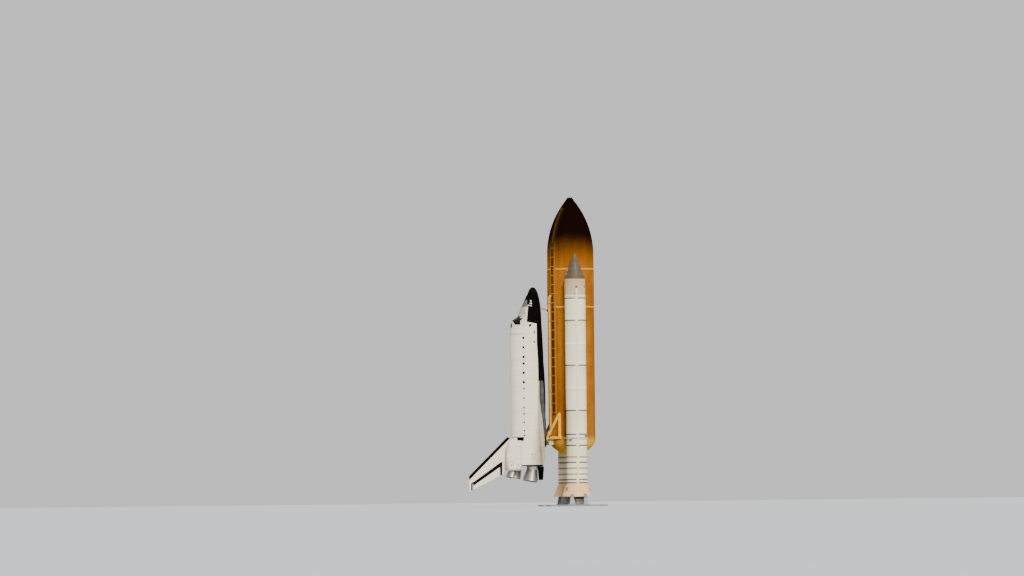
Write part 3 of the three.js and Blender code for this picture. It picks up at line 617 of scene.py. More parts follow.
def makeTank():
    skin = foamMaterial("foam_skin", rings=(tank["oxygenBase"], tank["intertankBase"]))
    axis = moved(y=stack["tankY"])
    makeOxygenTank(skin, axis)
    makeIntertank(skin, axis)
    makeHydrogenTank(skin, axis)


# Cable tray with its shadow strip, brackets, gas line and low cover, between the orbiter and starboard. The
# tray and the strip are near black: painted shadow on the tank.
tray = {
    "angle": -58.0,
    "width": 0.38,
    "proud": 0.15,
    "top": 54.0,
    "low": 16.6,
    "pitch": 1.65,
    "lineRadius": 0.05,
    "coverAt": 0.6,
    "coverHalf": 0.2,
}


def alongTank(z, out, across):
    turn = radians(tray["angle"])
    radial = Vector((cos(turn), sin(turn), 0))
    side = Vector((-sin(turn), cos(turn), 0))
    return Vector((0, stack["tankY"], z)) + radial * (ogiveRadius(z) + out) + side * across


def makeTray():
    bright = foamMaterial("foam_tray", tint=0.12)
    bracket = foamMaterial("foam_tray_bracket", tint=0.4)
    # Near-black brown of the tray and its strip: painted shadow.
    shade = Shade("tray_recess")
    shade.finish(
        shade.blend(shade.noise(3.0), (0.03, 0.011, 0.003), (0.07, 0.028, 0.006)), rough=0.9, sheen=0.05
    )
    heights = [tray["low"] + (46.0 - tray["low"]) * i / 40 for i in range(40)]
    heights += [46.0 + (tray["top"] - 46.0) * i / 30 for i in range(31)]
    half, proud = tray["width"] / 2, tray["proud"]
    section = [
        (-half, -0.05), (-half, proud * 0.7), (-half + 0.05, proud), (half - 0.05, proud),
        (half, proud * 0.7), (half, -0.05),
    ]
    piece = Piece().loft([[alongTank(z, out, across) for across, out in section] for z in heights], 2)
    shadow = [(-0.3, -0.05), (-0.3, 0.012), (0.34, 0.012), (0.34, -0.05)]
    piece.loft([[alongTank(z, out, across) for across, out in shadow] for z in heights], 2)
    middle, half = tray["coverAt"], tray["coverHalf"]
    cover = [
        (-half, -0.05), (-half, 0.04), (-half * 0.6, 0.09), (half * 0.6, 0.09), (half, 0.04), (half, -0.05)
    ]
    piece.loft([[alongTank(z, out, middle + across) for across, out in cover] for z in heights])
    piece.tube([alongTank(z, 0.1, -0.34) for z in heights], tray["lineRadius"], 10)
    z = tray["low"] + 0.4
    while z < tray["top"] - 0.4:
        ahead = alongTank(z + 0.05, 0.06, 0) - alongTank(z - 0.05, 0.06, 0)
        place = looking(alongTank(z, 0.06, 0), ahead)
        out = (alongTank(z, 1, 0) - alongTank(z, 0, 0)).normalized()
        spin = place.to_3x3().inverted() @ out
        place = place @ turned(degrees(atan2(spin.y, spin.x)))
        piece.box((0.26, 1.0, 0.13), 0.04, place @ moved(y=0.14), 1)
        piece.box((0.05, 0.2, 0.5), 0.015, place @ moved(x=0.1, z=0.8), 2)
        z += tray["pitch"]
    piece.keep("cable_tray_run", "stack", "foam", [bright, bracket, shade.material], ["tank_cable_tray"])


feedLine = {
    "x": 2.03,
    "y": -4.17,
    "radius": 0.215,
    "exit": (1.62, -3.5, 38.2),
    "low": 12.9,
    "foot": (1.75, -4.75, 12.64),
    "bracket": 3.2,
}


def makeFeedLine():
    pale = foamMaterial("foam_feed_line", tint=0.65, dark=False, grain=0.5)
    fresh = foamMaterial("foam_bracket", tint=0.1, dark=False)
    x, y, low = feedLine["x"], feedLine["y"], feedLine["low"]
    ex, ey, ez = feedLine["exit"]
    points = [
        (ex, ey, ez), (ex + 0.15, ey - 0.22, ez - 0.02), (x - 0.08, y + 0.2, ez - 0.13), (x, y, ez - 0.42)
    ]
    points += [(x, y, ez - 0.9 - k * (ez - low - 1.5) / 12) for k in range(13)]
    fx, fy, fz = feedLine["foot"]
    points += [
        (x, y, low + 0.25), (x - 0.04, y - 0.12, low + 0.05), (fx + 0.1, fy + 0.25, low - 0.08), (fx, fy, fz)
    ]
    path = [Vector(p) + Vector((0, stack["tankY"], 0)) for p in points]
    piece = Piece().tube(path, feedLine["radius"], 28)
    r = feedLine["radius"]
    for z in (ez - 0.75, 34.0, 27.6, 21.0, 14.2):
        rib = [(r - 0.01, -0.26)]
        for k in range(6):
            rib += [(r + 0.045, -0.22 + k * 0.08), (r + 0.012, -0.18 + k * 0.08)]
        rib.append((r - 0.01, 0.26))
        piece.spin(rib, 32, moved(x, stack["tankY"] + y, z))
    for k in range(8):
        z = 36.7 - k * feedLine["bracket"]
        piece.box((0.16, 0.62, 0.2), 0.05, moved(x, stack["tankY"] + y + 0.25, z), 1)
        piece.add(collar(r - 0.01, r + 0.03, 0.07, 28, 0.01), moved(x, stack["tankY"] + y, z), 1)
    piece.keep("feed_line_run", "stack", "foam", [pale, fresh], ["tank_feed_line"])


# Struts keep their solids; fairings, clevises and the umbilical gear are added to them.
mounts = {
    "foreAft": 3.863,
    "foreY": -5.64,
    "aftX": 2.451,
    "aftY": -5.19,
    "aftZ": 12.306,
    "legX": 3.39,  # leg down the tank's side
    "legY": -2.71,
    "plateX": 1.75,
    "housingY": -4.1,
    "housingZ": -0.55,  # below the aft fittings
}


# Fairing, clevis and lug at each foot of the forward bipod
def addForeFitting(piece, side):
    ty, foreZ = stack["tankY"], stack["noseZ"] - mounts["foreAft"]
    leg = Vector((side * -1.18, -1.59, 0.35))
    piece.spin([
        (0, 0), (0.3, 0), (0.26, 0.14), (0.13, 0.34), (0.11, 0.5), (0, 0.5)
    ], 28, looking((side * 1.36, ty - 3.98, foreZ - 0.36), leg))
    piece.spin([
        (0.095, 0), (0.13, 0.03), (0.13, 0.17), (0.095, 0.2)
    ], 24, looking((side * 0.42, ty - 5.0, foreZ - 0.12), leg), 1)
    piece.box((0.09, 0.3, 0.34), 0.03, moved(side * 0.21, ty + mounts["foreY"] + 0.06, foreZ), 1)


# Aft ball fittings with their bolts, and the sleeves and collars on the long struts
def addAftFitting(piece, side):
    ty = stack["tankY"]
    x, y, z = side * mounts["aftX"], ty + mounts["aftY"] + 0.28, mounts["aftZ"]
    for dx in (-0.24, 0.24):
        piece.spin([
            (0, 0), (0.12, 0), (0.12, 0.05), (0.07, 0.06), (0.07, 0.1), (0, 0.1)
        ], 20, looking((x + dx * 0.9, y - 0.2, z), (dx, 0, 0)), 1)
    along = Vector((side * 0.939, 2.28, 4.6))
    sleeve = [(0.18, 0), (0.25, 0.06), (0.25, 4.2), (0.18, 4.26)]
    piece.spin(sleeve, 28, looking(Vector((x, y - 0.02, z)) + along * 0.12, along))
    for t, size in ((0.16, 0.29), (0.5, 0.275), (0.9, 0.29)):
        piece.add(collar(0.18, size, 0.1), looking(Vector((x, y - 0.02, z)) + along * t, along), 0)
    piece.spin([
        (0.12, 0), (0.3, 0.08), (0.3, 4.1), (0.12, 4.35)
    ], 28, moved(side * mounts["legX"], ty + mounts["legY"], z + 0.2))
    for t in (1.2, 2.6, 4.0):
        piece.add(collar(0.29, 0.325, 0.08, 28), moved(side * mounts["legX"], ty + mounts["legY"], z + t), 0)
    piece.tube(
        [Vector((side * (2.72 + 0.85 * t / 4), y + 0.55 + 2.1 * t / 4, z + 0.13)) for t in range(5)], 0.21, 20
    )


# Umbilical plates: frame, connector domes and the hose bundle into the belly
def addUmbilical(piece, side):
    ty, z = stack["tankY"], mounts["aftZ"]
    px = side * mounts["plateX"]
    hy, hz = ty + mounts["housingY"], z + mounts["housingZ"]
    piece.box((0.72, 0.1, 0.86), 0.03, moved(px, ty - 5.0, z - 0.09), 2, segments=2)
    piece.box((0.7, 0.86, 1.26), 0.1, moved(px, hy, hz), 2, segments=3)
    for dz in (-0.42, 0.0, 0.42):
        piece.box((0.76, 0.9, 0.07), 0.02, moved(px, hy, hz + dz), 2)
    for dy, dz, size in ((0.06, -0.2, 0.13), (-0.24, 0.22, 0.08), (0.24, 0.24, 0.07)):
        port = lathed([(size, -0.02), (size, 0.05), (size * 0.8, 0.06), (size * 0.7, 0.0), (0, 0.0)], 20)
        piece.add(port, looking((px + side * 0.36, hy + dy, hz + dz), (side, 0, 0)), 1)
    for dx, dz, size in ((0, 0.12, 0.2), (-0.2, -0.2, 0.11), (0.2, -0.22, 0.11), (0.22, 0.2, 0.06)):
        dome = lathed([
            (0, 0.14), (size * 0.6, 0.12), (size * 0.9, 0.06), (size, 0), (size * 1.2, 0),
            (size * 1.2, -0.03), (0, -0.03),
        ], 24)
        piece.add(dome, looking((px + dx, ty - 4.68, z - 0.09 + dz), (0, 1, 0)), 1)
    for k in range(4):
        start = Vector((px + side * (0.12 + k * 0.05), ty - 4.72, z + 0.2 - k * 0.05))
        bend = Vector((px + side * (0.34 + k * 0.04), ty - 4.35, z + 0.75 - k * 0.1))
        end = Vector((side * 2.3 - side * k * 0.1, ty - 3.55 - k * 0.02, z + 1.5))
        path = [start.lerp(bend, t / 5).lerp(bend.lerp(end, t / 5), t / 5) for t in range(6)]
        piece.tube(path, 0.035, 8, 1)


def makeMounts():
    # Pale tint on the struts: painted light from the lamps below.
    strut = foamMaterial("foam_strut", tint=0.95, dark=False)
    metal = steelMaterial("mount_metal", (0.42, 0.40, 0.37))
    plate = steelMaterial("umbilical_paint", (0.80, 0.72, 0.50), metal=0.0, rust=0.05)
    for name in ("tank_bipod", "tank_aft_mount_right", "tank_aft_mount_left"):
        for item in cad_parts[name].material_slots:
            item.material = strut
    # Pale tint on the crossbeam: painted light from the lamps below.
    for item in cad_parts["tank_crossbeam"].material_slots:
        item.material = foamMaterial("foam_beam", tint=0.85, dark=False)
    piece = Piece()
    for side in (-1, 1):
        addForeFitting(piece, side)
        addAftFitting(piece, side)
        addUmbilical(piece, side)
    piece.box((2.1, 0.3, 0.32), 0.08, moved(0, stack["tankY"] - 4.77, mounts["aftZ"] - 0.355), segments=2)
    piece.keep("mount_fittings", "stack", "foam", [strut, metal, plate])


# Boosters. Built about their own axis for starboard and mirrored for port.
booster = {
    "x": 6.363,
    "radius": 1.854,
    "band": 1.884,
    "tip": 45.707,
    "capBase": 43.802,
    "capRadius": 0.86,
    "frustumBase": 40.98,
    "skirtJoint": 37.287,
    "fieldJoints": (29.159, 21.031, 12.903),
    "caseEnd": 4.128,
    "stiffeners": (8.8, 6.745, 5.755),
    "dark": (37.5, 33.5, 25.4, 17.27, 12.96, 10.95, 7.9, 4.8, 4.25),  # joint lines that read black
    "pale": (38.0, 29.4, 21.4, 12.6),
    "gold": (8.88, 6.86, 5.8),
    "tunnelAngle": 1.5,
    "tunnelHalf": 0.14,
    "tunnelProud": 0.15,
    "tunnelLow": 4.35,
    "tunnelTop": 39.2,
    "tunnelCovers": 34,
    "post": 1.75,
    "pivot": 3.25,  # height of the nozzle's swing axis
}
boosterPaint = {
    "white": (0.77, 0.70, 0.45),
    "stain": (0.60, 0.56, 0.47),
    "beige": (0.42, 0.28, 0.135),
    # Warm orange of the aft skirt: painted warm light from the lamps below.
    "warm": (0.80, 0.47, 0.22),
    "cone": (0.07, 0.043, 0.02),
    "joint": (0.03, 0.028, 0.03),
}


def boosterMaterial(name, ground="white", marks=True):
    shade = Shade(name)
    x, y, z = shade.place()
    across = abs(x) - booster["x"]
    deep = y - stack["tankY"]
    angle = shade.maths("ARCTAN2", deep, across) * (180 / pi)
    broad = shade.noise(0.7, 4)
    streak = shade.noise(1.0, 4, shade.stretched((7.0, 7.0, 0.35)))
    fine = shade.noise(14.0, 4)
    colour = shade.blend(
        shade.ease(broad * 0.5 + streak * 0.6, 0.42, 0.85), boosterPaint[ground],
        tuple(c * 0.86 for c in boosterPaint[ground]),
    )
    colour = shade.blend(shade.ease(fine, 0.6, 0.8) * 0.25, colour, boosterPaint["stain"])
    seams = shade.repeat(z, 1.02, 0.02)
    staves = shade.repeat(angle, 30.0, 0.35)
    colour = shade.blend(shade.high(seams, staves) * 0.16, colour, boosterPaint["stain"])
    height = fine * 0.4 + broad * 0.5 - seams * 0.5
    if marks:
        clear = shade.ease(abs(angle + 1.5), 6.2, 7.2)
        colour = shade.blend(shade.ease(z, 37.3, 38.4) * 0.85, colour, boosterPaint["beige"])
        for line in booster["pale"]:
            colour = shade.blend(shade.line(z, line, 0.1) * 0.7, colour, (0.90, 0.89, 0.85))
        halves = [0.11] + [0.12] * (len(booster["dark"]) - 1)
        dark = shade.high(*(shade.line(z, line, half) for line, half in zip(booster["dark"], halves)))
        colour = shade.blend(dark * clear * 0.93, colour, boosterPaint["joint"])
        for line in booster["gold"]:
            colour = shade.blend(shade.line(z, line, 0.13) * 0.9, colour, (0.27, 0.16, 0.05))
        height = height - dark * 0.8
    return shade.finish(colour, rough=0.5 + fine * 0.12 + broad * 0.1, height=height, depth=0.006)


# One booster. Port is starboard's mirror image.
class Booster:
    def __init__(self, side, name):
        self.pieces = "booster_" + name
        self.place = moved(side * booster["x"], stack["tankY"]) @ Matrix.Diagonal((side, 1, 1, 1))

    # Places round its axis: at a radius, and on the case.
    def ringed(self, angle, r, z, lean=0.0):
        return self.place @ turned(angle) @ moved(x=r, z=z) @ turned(lean, "Y")

    def around(self, angle, z, out=0.0):
        return self.ringed(angle, booster["radius"] + out, z)

    def keep(self, piece, node, title, looks, body="stack", slot="booster"):
        materials = [boosterMaterials[look] for look in looks]
        node = f"{self.pieces}_{node}"
        piece.keep(f"{node}_{title}", body, slot, materials, [node])


# Nose cap and frustum with the forward separation motors
def makeBoosterNose(own):
    place, ringed, radius = own.place, own.ringed, booster["radius"]
    cap = near(0, booster["tip"], (0, 0), (0.09, -0.02), (0.17, -0.08), (0.24, -0.18), (0.3, -0.34))
    base, capRadius, low = booster["capBase"], booster["capRadius"], booster["frustumBase"]
    cap += near(capRadius, base, (-0.02, 0.05), (0, 0.03), (0, -0.01), (0.015, -0.06))
    cap += [
        (1.2, 42.76), (1.52, 41.78), (radius - 0.03, low + 0.11), (radius, low + 0.09), (radius, low + 0.001),
        (0, low + 0.001),
    ]
    piece = Piece().spin(cap, 96, place)
    slope = degrees(atan2(radius - capRadius, base - low))
    for k in range(4):
        angle = -118 + (k % 2) * 17
        z = 41.9 + (k // 2) * 0.62
        r = radius - (z - low) * (radius - capRadius) / (base - low)
        motor = lathed(
            [(0, 0.02), (0.13, 0.02), (0.15, 0.07), (0.19, 0.07), (0.2, 0.0), (0.2, -0.06), (0, -0.06)], 24
        )
        piece.add(motor, ringed(angle, r, z, 90 - slope), 1)
    for angle, z, wide, tall in (
        (-10, 42.6, 0.16, 0.2), (38, 41.5, 0.14, 0.14), (-48, 41.6, 0.14, 0.14), (8, 41.2, 0.1, 0.1)
    ):
        r = radius - (z - low) * (radius - capRadius) / (base - low)
        piece.box((0.05, wide, tall), 0.015, ringed(angle, r, z, -slope), 2)
    own.keep(piece, "nose", "skin", ("cone", "metal", "mark"))


# Forward skirt: rings, access covers and the thrust fitting
def makeForwardSkirt(own):
    place, around, low = own.place, own.around, booster["frustumBase"]
    radius, band = booster["radius"], booster["band"]
    joint = booster["skirtJoint"]
    skirt = [(0, low), *near(radius, low, (0, 0), (0, -0.06), (0.012, -0.08), (0.012, -0.2), (0, -0.22))]
    skirt += [
        (radius, 38.46), (radius + 0.02, 38.42), (radius + 0.02, 38.2), (radius, 38.16), (radius, 37.74),
        (band + 0.01, 37.7),
    ]
    skirt += [(band + 0.01, 37.56), (radius, 37.52), (radius, joint + 0.001), (0, joint + 0.001)]
    piece = Piece().spin(skirt, 96, place)
    piece.box((0.55, 0.52, 0.66), 0.06, place @ moved(-2.01, 0, 39.5), segments=2)
    piece.spin([
        (0, 0), (0.3, 0), (0.26, 0.25), (0.19, 0.34), (0, 0.34)
    ], 32, place @ moved(-1.83, 0, 39.5) @ turned(-90, "Y"), 1)
    for angle, z, wide, tall in (
        (0.7, 39.54, 0.36, 0.36), (-10.3, 38.27, 0.22, 0.22), (-30, 40.45, 0.1, 0.1), (-30, 39.9, 0.1, 0.1),
        (-30, 39.35, 0.1, 0.1), (-30, 38.8, 0.1, 0.1), (60, 39.6, 0.3, 0.4), (150, 39.3, 0.4, 0.5),
        (-80, 39.3, 0.3, 0.3),
    ):
        piece.box((0.05, wide, tall), 0.02, around(angle, z), 2, segments=2)
    for angle in (100, 215, 260):
        piece.box((0.06, 0.62, 0.8), 0.03, around(angle, 39.4), segments=2)
    own.keep(piece, "forward_skirt", "skin", ("white", "metal", "mark"))


# Case segments: field joints with their pin bands, factory joints and stiffener rings
def makeSegments(own):
    place, ringed, around = own.place, own.ringed, own.around
    radius, band = booster["radius"], booster["band"]
    tops = [booster["skirtJoint"], *booster["fieldJoints"]]
    ends = [*booster["fieldJoints"], booster["caseEnd"]]
    for title, top, end in zip(("forward", "fore_centre", "aft_centre", "aft"), tops, ends):
        profile = [(0, top)]
        if title != "forward":
            profile += [(band - 0.012, top), (band, top - 0.015), (band, top - 0.095), (radius, top - 0.13)]
        else:
            profile += [(radius, top)]
        middle = [z for z in booster["dark"] if end + 0.6 < z < top - 0.6 and title != "aft"]
        bands = middle + (list(booster["stiffeners"]) if title == "aft" else [])
        for z in sorted(bands, reverse=True):
            out = band if title == "aft" else radius + 0.012
            half = 0.06 if title == "aft" else 0.1
            profile += [
                (radius, z + half + 0.02), (out, z + half), (out, z - half), (radius, z - half - 0.02)
            ]
        if title == "aft":
            profile += [
                (radius, end + 0.001), (1.65, end + 0.001), (1.3, end - 0.16), (0.76, 3.871), (0, 3.871)
            ]
        else:
            profile += [*near(radius, end, (0, 0.16), (0.016, 0.13), (0.016, 0.001)), (0, end + 0.001)]
        piece = Piece().spin(profile, 96, place)
        if title != "forward":
            for k in range(0, 360, 6):
                piece.spin([
                    (0, 0.012), (0.022, 0.012), (0.028, 0), (0.028, -0.01)
                ], 8, ringed(k, band, top - 0.055, 90), 1)
        if title == "aft":
            for k in range(0, 360, 15):
                for z in booster["stiffeners"]:
                    piece.box((0.03, 0.035, 0.17), 0.008, around(k + 4, z, 0.028), 1)
        own.keep(piece, "segment_" + title, "skin", ("white", "metal"))


# Systems tunnel: capped covers end to end
def makeTunnel(own):
    around = own.around
    piece = Piece()
    proud, half, turn = booster["tunnelProud"], booster["tunnelHalf"], booster["tunnelAngle"]
    lower, upper, covers = booster["tunnelLow"], booster["tunnelTop"], booster["tunnelCovers"]
    step = (upper - lower) / covers
    piece.box(
        (proud + 0.02, half * 1.9, upper - lower - 0.1), 0.02,
        around(turn, (upper + lower) / 2, proud / 2 - 0.03),
    )
    for k in range(covers):
        piece.box(
            (proud + 0.03, half * 2, step - 0.035), 0.035,
            around(turn, lower + step * (k + 0.5), proud / 2 - 0.02), segments=2,
        )
    own.keep(piece, "tunnel", "covers", ("tunnel",))


# Aft skirt: flared shell with rings, ribs, feet, aft separation motors and heat curtain
def makeAftSkirt(own):
    place, ringed, radius = own.place, own.ringed, booster["radius"]
    top, base = booster["caseEnd"], booster["post"]
    shell = [
        (1.78, top), (radius + 0.04, top), (radius + 0.04, top - 0.2), (radius + 0.07, top - 0.26),
        (2.6, base + 0.31), (2.645, base + 0.26),
    ]
    shell += [
        (2.66, base + 0.22), (2.66, base + 0.002), (2.56, base + 0.002), (2.52, base + 0.22),
        (1.8, top - 0.3), (1.78, top),
    ]
    piece = Piece().spin(shell[:-1], 96, place, closed=True)
    flare = degrees(atan2(2.6 - radius - 0.07, top - 0.26 - base - 0.31))
    for z, r in ((3.35, 2.125), (2.75, 2.355)):
        piece.spin(near(r, z, (-0.04, -0.05), (0.035, -0.04), (0.035, 0.03), (-0.06, 0.06)), 96, place)
    for k in range(24):
        angle = k * 15 + 7.5
        piece.box((0.05, 0.05, 1.85), 0.012, ringed(angle, 2.29, 2.92, -flare))
    for sx in (-1, 1):
        for sy in (-1, 1):
            spot = place @ moved(sx * 2.48, sy * 1.25, base)
            # half width, shift to the side and fore or aft, height
            levels = ((0.33, 0, 0, 0.001), (0.33, 0, 0, 0.15), (0.2, -0.2, -0.1, 0.52))
            corners = ((-1, -1), (1, -1), (1, 1), (-1, 1))
            foot = lofted([
                [Vector((sx * (a * h + dx), sy * (b * h + dy), z)) for a, b in corners]
                for h, dx, dy, z in levels
            ])
            piece.add(bevelled(foot, foot.edges[:], 0.025, 2), spot, 1)
            for dx in (-0.2, 0.2):
                for dy in (-0.2, 0.2):
                    piece.add(nut(0.09), spot @ moved(dx * 1.2, dy * 1.2, 0.14), 1)
    for k in range(4):
        motor = lathed(
            [(0, 0.04), (0.12, 0.04), (0.14, 0.1), (0.18, 0.1), (0.19, 0), (0.19, -0.5), (0, -0.5)], 24
        )
        piece.add(motor, ringed(84 + k * 13, 2.36, 3.02, 58), 1)
    piece.box((0.16, 0.5, 0.7), 0.04, ringed(-62, 2.22, 3.1, -flare), 1, segments=2)
    curtain = [
        (1.14, 2.86), (1.36, 2.79), (1.75, 2.75), (2.19, 2.84), (2.19, 2.87), (1.75, 2.79), (1.36, 2.83),
        (1.14, 2.9),
    ]
    piece.spin(curtain, 72, place, 2, closed=True)
    own.keep(piece, "aft_skirt", "skin", ("skirt", "metal", "curtain"))


# Nozzle: ball and cone in one closed shell, with rings and bolts
def makeNozzle(own):
    place, ringed = own.place, own.ringed
    pivot = booster["pivot"]
    outer = [(0, 0.62), (0.31, 0.537), (0.537, 0.31), (0.61, 0), (0.7, -0.2), (0.82, -0.38)]
    outer += [(0.97, -0.7), (1.18, -1.15), (1.37, -1.58), (1.56, -2.05), (1.74, -2.55), (1.9, -3), (1.82, -3)]
    outer += [
        (1.66, -2.55), (1.48, -2.05), (1.28, -1.58), (1.09, -1.15), (0.86, -0.76), (0.6, -0.38), (0.5, -0.32),
        (0, -0.3),
    ]
    piece = Piece().spin(near(0, pivot, *outer), 96, place)
    for r, z in near(0, pivot, (0.99, -0.72), (1.2, -1.18), (1.4, -1.62), (1.58, -2.07), (1.77, -2.65)):
        piece.spin(near(r, z, (-0.05, 0.07), (0.025, 0.05), (0.05, -0.05), (-0.02, -0.07)), 96, place, 1)
    for k in range(36):
        piece.spin(
            [(0, 0.03), (0.03, 0.03), (0.035, 0), (0, 0)], 6, ringed(k * 10, 1.235, pivot - 1.18, 90), 1
        )
    own.keep(piece, "nozzle", "cone", ("nozzle", "metal"), own.pieces + "_nozzle", "bell")


# Ring, struts and stand keep their solids in new paint. The ring and the struts get their gear.
def makeRingGear(own):
    place, around, radius = own.place, own.around, booster["radius"]
    metal = boosterMaterials["metal"]
    for node in ("_attach_ring", "_stand"):
        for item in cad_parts[own.pieces + node].material_slots:
            item.material = boosterMaterials["ring" if node == "_attach_ring" else "stand"]
    piece = Piece()
    ringZ = mounts["aftZ"]
    for low, high in ((-0.17, -0.1), (0.1, 0.17)):
        slants = (0.02, 0.01) if low < 0 else (0.01, 0.02)
        rim = near(radius, ringZ, (0.1, low), (0.13, low + slants[0]), (0.13, high - slants[1]), (0.1, high))
        piece.spin(rim, 96, place)
    for k in range(40):
        piece.box((0.03, 0.05, 0.24), 0.01, around(k * 9, ringZ, 0.115))
    piece.box((0.3, 0.9, 0.5), 0.05, around(58, ringZ + 0.45, 0.13), 1, segments=2)
    piece.box((0.2, 0.5, 0.3), 0.04, around(-40, ringZ - 0.36, 0.09), 1, segments=2)
    for sy in (-1, 1):
        start, end = Vector((-0.9, sy * 1.64, ringZ)), Vector((-3.163, sy * 1.9, ringZ))
        for t, size in ((0.36, 0.15), (0.62, 0.13), (0.84, 0.15)):
            piece.add(collar(0.08, size, 0.1), place @ looking(start.lerp(end, t), end - start))
    piece.keep(own.pieces + "_ring_gear", "stack", "steel", [boosterMaterials["ring"], metal])


# The stand's stiffeners, pads, bolts and gussets
def makeStandGear(own):
    place = own.place
    piece = Piece()
    for sx in (-1, 1):
        for k in range(-6, 7):
            piece.box((0.05, 0.04, 0.24), 0.0, place @ moved(sx * 3.35, k * 0.8, 0.15))
            piece.box((0.05, 0.04, 0.24), 0.0, place @ moved(sx * 2.37, k * 0.72, 0.15))
        for sy in (-1, 1):
            spot = place @ moved(sx * 2.8, sy * 1.25, 0.3)
            piece.box((0.98, 1.3, 0.06), 0.015, spot @ moved(z=0.03))
            for dx, dy in ((-0.4, -0.55), (0.4, -0.55), (-0.4, 0.55), (0.4, 0.55), (0.4, 0), (-0.4, 0)):
                piece.add(nut(0.1), spot @ moved(dx, dy, 0.055), 1)
            for dy in (-0.3, 0.3):
                outline = ((0.42, 0.05), (0.42, 0.16), (-0.12, 1.05), (-0.2, 1.05), (-0.2, 0.05))
                gusset = lofted(
                    [[Vector((sx * a, b, c)) for a, c in outline] for b in (dy - 0.025, dy + 0.025)]
                )
                piece.add(gusset, spot)
            piece.box((0.7, 0.7, 0.05), 0.012, place @ moved(sx * 2.48, sy * 1.25, booster["post"] - 0.2), 1)
    piece.keep(
        own.pieces + "_stand_gear", "stack", "steel", [boosterMaterials["stand"], boosterMaterials["metal"]]
    )


def makeBooster(side, name):
    own = Booster(side, name)
    makeBoosterNose(own)
    makeForwardSkirt(own)
    makeSegments(own)
    makeTunnel(own)
    makeAftSkirt(own)
    makeNozzle(own)
    makeRingGear(own)
    makeStandGear(own)


def quiltMaterial(name, colour, pitch):
    shade = Shade(name)
    x, y, z = shade.place()
    wrinkle = shade.noise(2.4, 4)
    a, b, c = (abs((v + wrinkle * 0.04) % pitch - pitch / 2) for v in (x, y, z))
    stitch = shade.low(*(shade.ease(pitch / 2 - v, 0.0, 0.03) for v in (a, b, c)))
    mixed = shade.blend(wrinkle, tuple(0.7 * c for c in colour), colour)
    mixed = shade.blend(stitch, tuple(0.5 * c for c in colour), mixed)
    return shade.finish(mixed, rough=0.85, height=stitch + wrinkle, depth=0.02)


def wrappedMaterial(name):
    shade = Shade(name)
    wrap = shade.repeat(shade.place()[2], 0.09, 0.012)
    soot = shade.noise(1.2, 5)
    colour = shade.blend(shade.ease(soot, 0.3, 0.7), (0.09, 0.075, 0.06), (0.22, 0.19, 0.16))
    colour = shade.blend(wrap * 0.5, colour, (0.04, 0.035, 0.03))
    return shade.finish(colour, rough=0.6 + soot * 0.2, metal=0.15, height=soot * 0.5 - wrap, depth=0.006)


# Orbiter. Its own axes: side to starboard, up from the payload bay's centreline, aft from the nose tip.
hull = {
    # aft, half width, height of the widest line, top, bottom, roundness of the top, roundness of the bottom
    "forward": (
        (0.02, 0.11, -1.59, -1.49, -1.7, 2, 2),
        (0.16, 0.39, -1.61, -1.24, -1.99, 2, 2),
        (0.5, 0.7, -1.64, -0.95, -2.26, 2, 2.1),
        (1.05, 1.04, -1.67, -0.74, -2.49, 2, 2.3),
        (1.9, 1.44, -1.7, -0.32, -2.71, 2, 2.6),
        (3.2, 1.89, -1.66, 0.28, -2.9, 2.1, 3),
        (4.7, 2.24, -1.42, 0.95, -3.0, 2.2, 3.6),
        (5.25, 2.33, -1.3, 1.1, -3.02, 2.2, 3.8),
        (5.7, 2.39, -1.15, 1.7, -3.03, 2.2, 4),
        (6.15, 2.44, -0.95, 2.3, -3.04, 2.2, 4.2),
        (6.5, 2.48, -0.8, 2.44, -3.03, 2.2, 4.4),
        (7.3, 2.55, -0.5, 2.51, -3.07, 2.1, 4.8),
        (8.636, 2.59, 0, 2.6, -3.13, 2, 6),
    ),
    "middle": (
        (8.637, 2.59, 0, 2.6, -3.13, 2, 6), (13, 2.59, 0, 2.6, -3.3, 2, 6), (20, 2.59, 0, 2.6, -3.4, 2, 6),
        (27.202, 2.59, 0, 2.6, -3.38, 2, 6),
    ),
    "aft": (
        (27.203, 2.59, 0, 2.6, -3.38, 2, 6), (29.7, 2.62, 0, 2.6, -3.34, 2.2, 6),
        (31.5, 2.65, 0, 2.5, -3.19, 2.6, 6), (32.385, 2.64, 0, 2.38, -3.06, 3, 6),
    ),
    "capEnd": 1.05,
    "sill": 0.44,
    "bayRadius": 2.33,
    "blackEnd": 2.34,  # all black ahead of this
    "cheekEnd": 6.3,  # black cheeks end here
    "cheekUp": -1.01,
    "chineUp": -1.97,
    "sides": 96,
    "frames": 13,  # ribs in the payload bay
    "firstFrame": 9.3,
    "framePitch": 1.42,
}
finish = {
    "white": (0.87, 0.75, 0.55),
    "grey": (0.47, 0.455, 0.42),
    "shade": (0.72, 0.66, 0.54),
    # The patch colour is the nose thrusters' dark grey, and also painted shade on the upper deck.
    "patch": (0.075, 0.066, 0.062),
    "black": (0.0022, 0.0015, 0.0011),
    "tilePitch": 0.2,
    "blanketPitch": 0.76,
}


# Round the payload bay's centreline: a point, and a rib of one section along an arc.
def onArc(angle, radius, aft, side=1):
    return at(side * radius * cos(angle), radius * sin(angle), aft)


def arched(angles, aft, section, side=1):
    return lofted([[onArc(a, r, aft + d, side) for r, d in section] for a in angles])


def rounded(value, power):
    return copysign(abs(value) ** (2 / power), value)


def hullPoint(row, turn, out=0.0):
    aft, half, waist, top, bottom, topRound, bottomRound = row
    power = topRound if sin(turn) >= 0 else bottomRound
    height = (top - waist if sin(turn) >= 0 else waist - bottom) + out
    return at((half + out) * rounded(cos(turn), power), waist + height * rounded(sin(turn), power), aft)


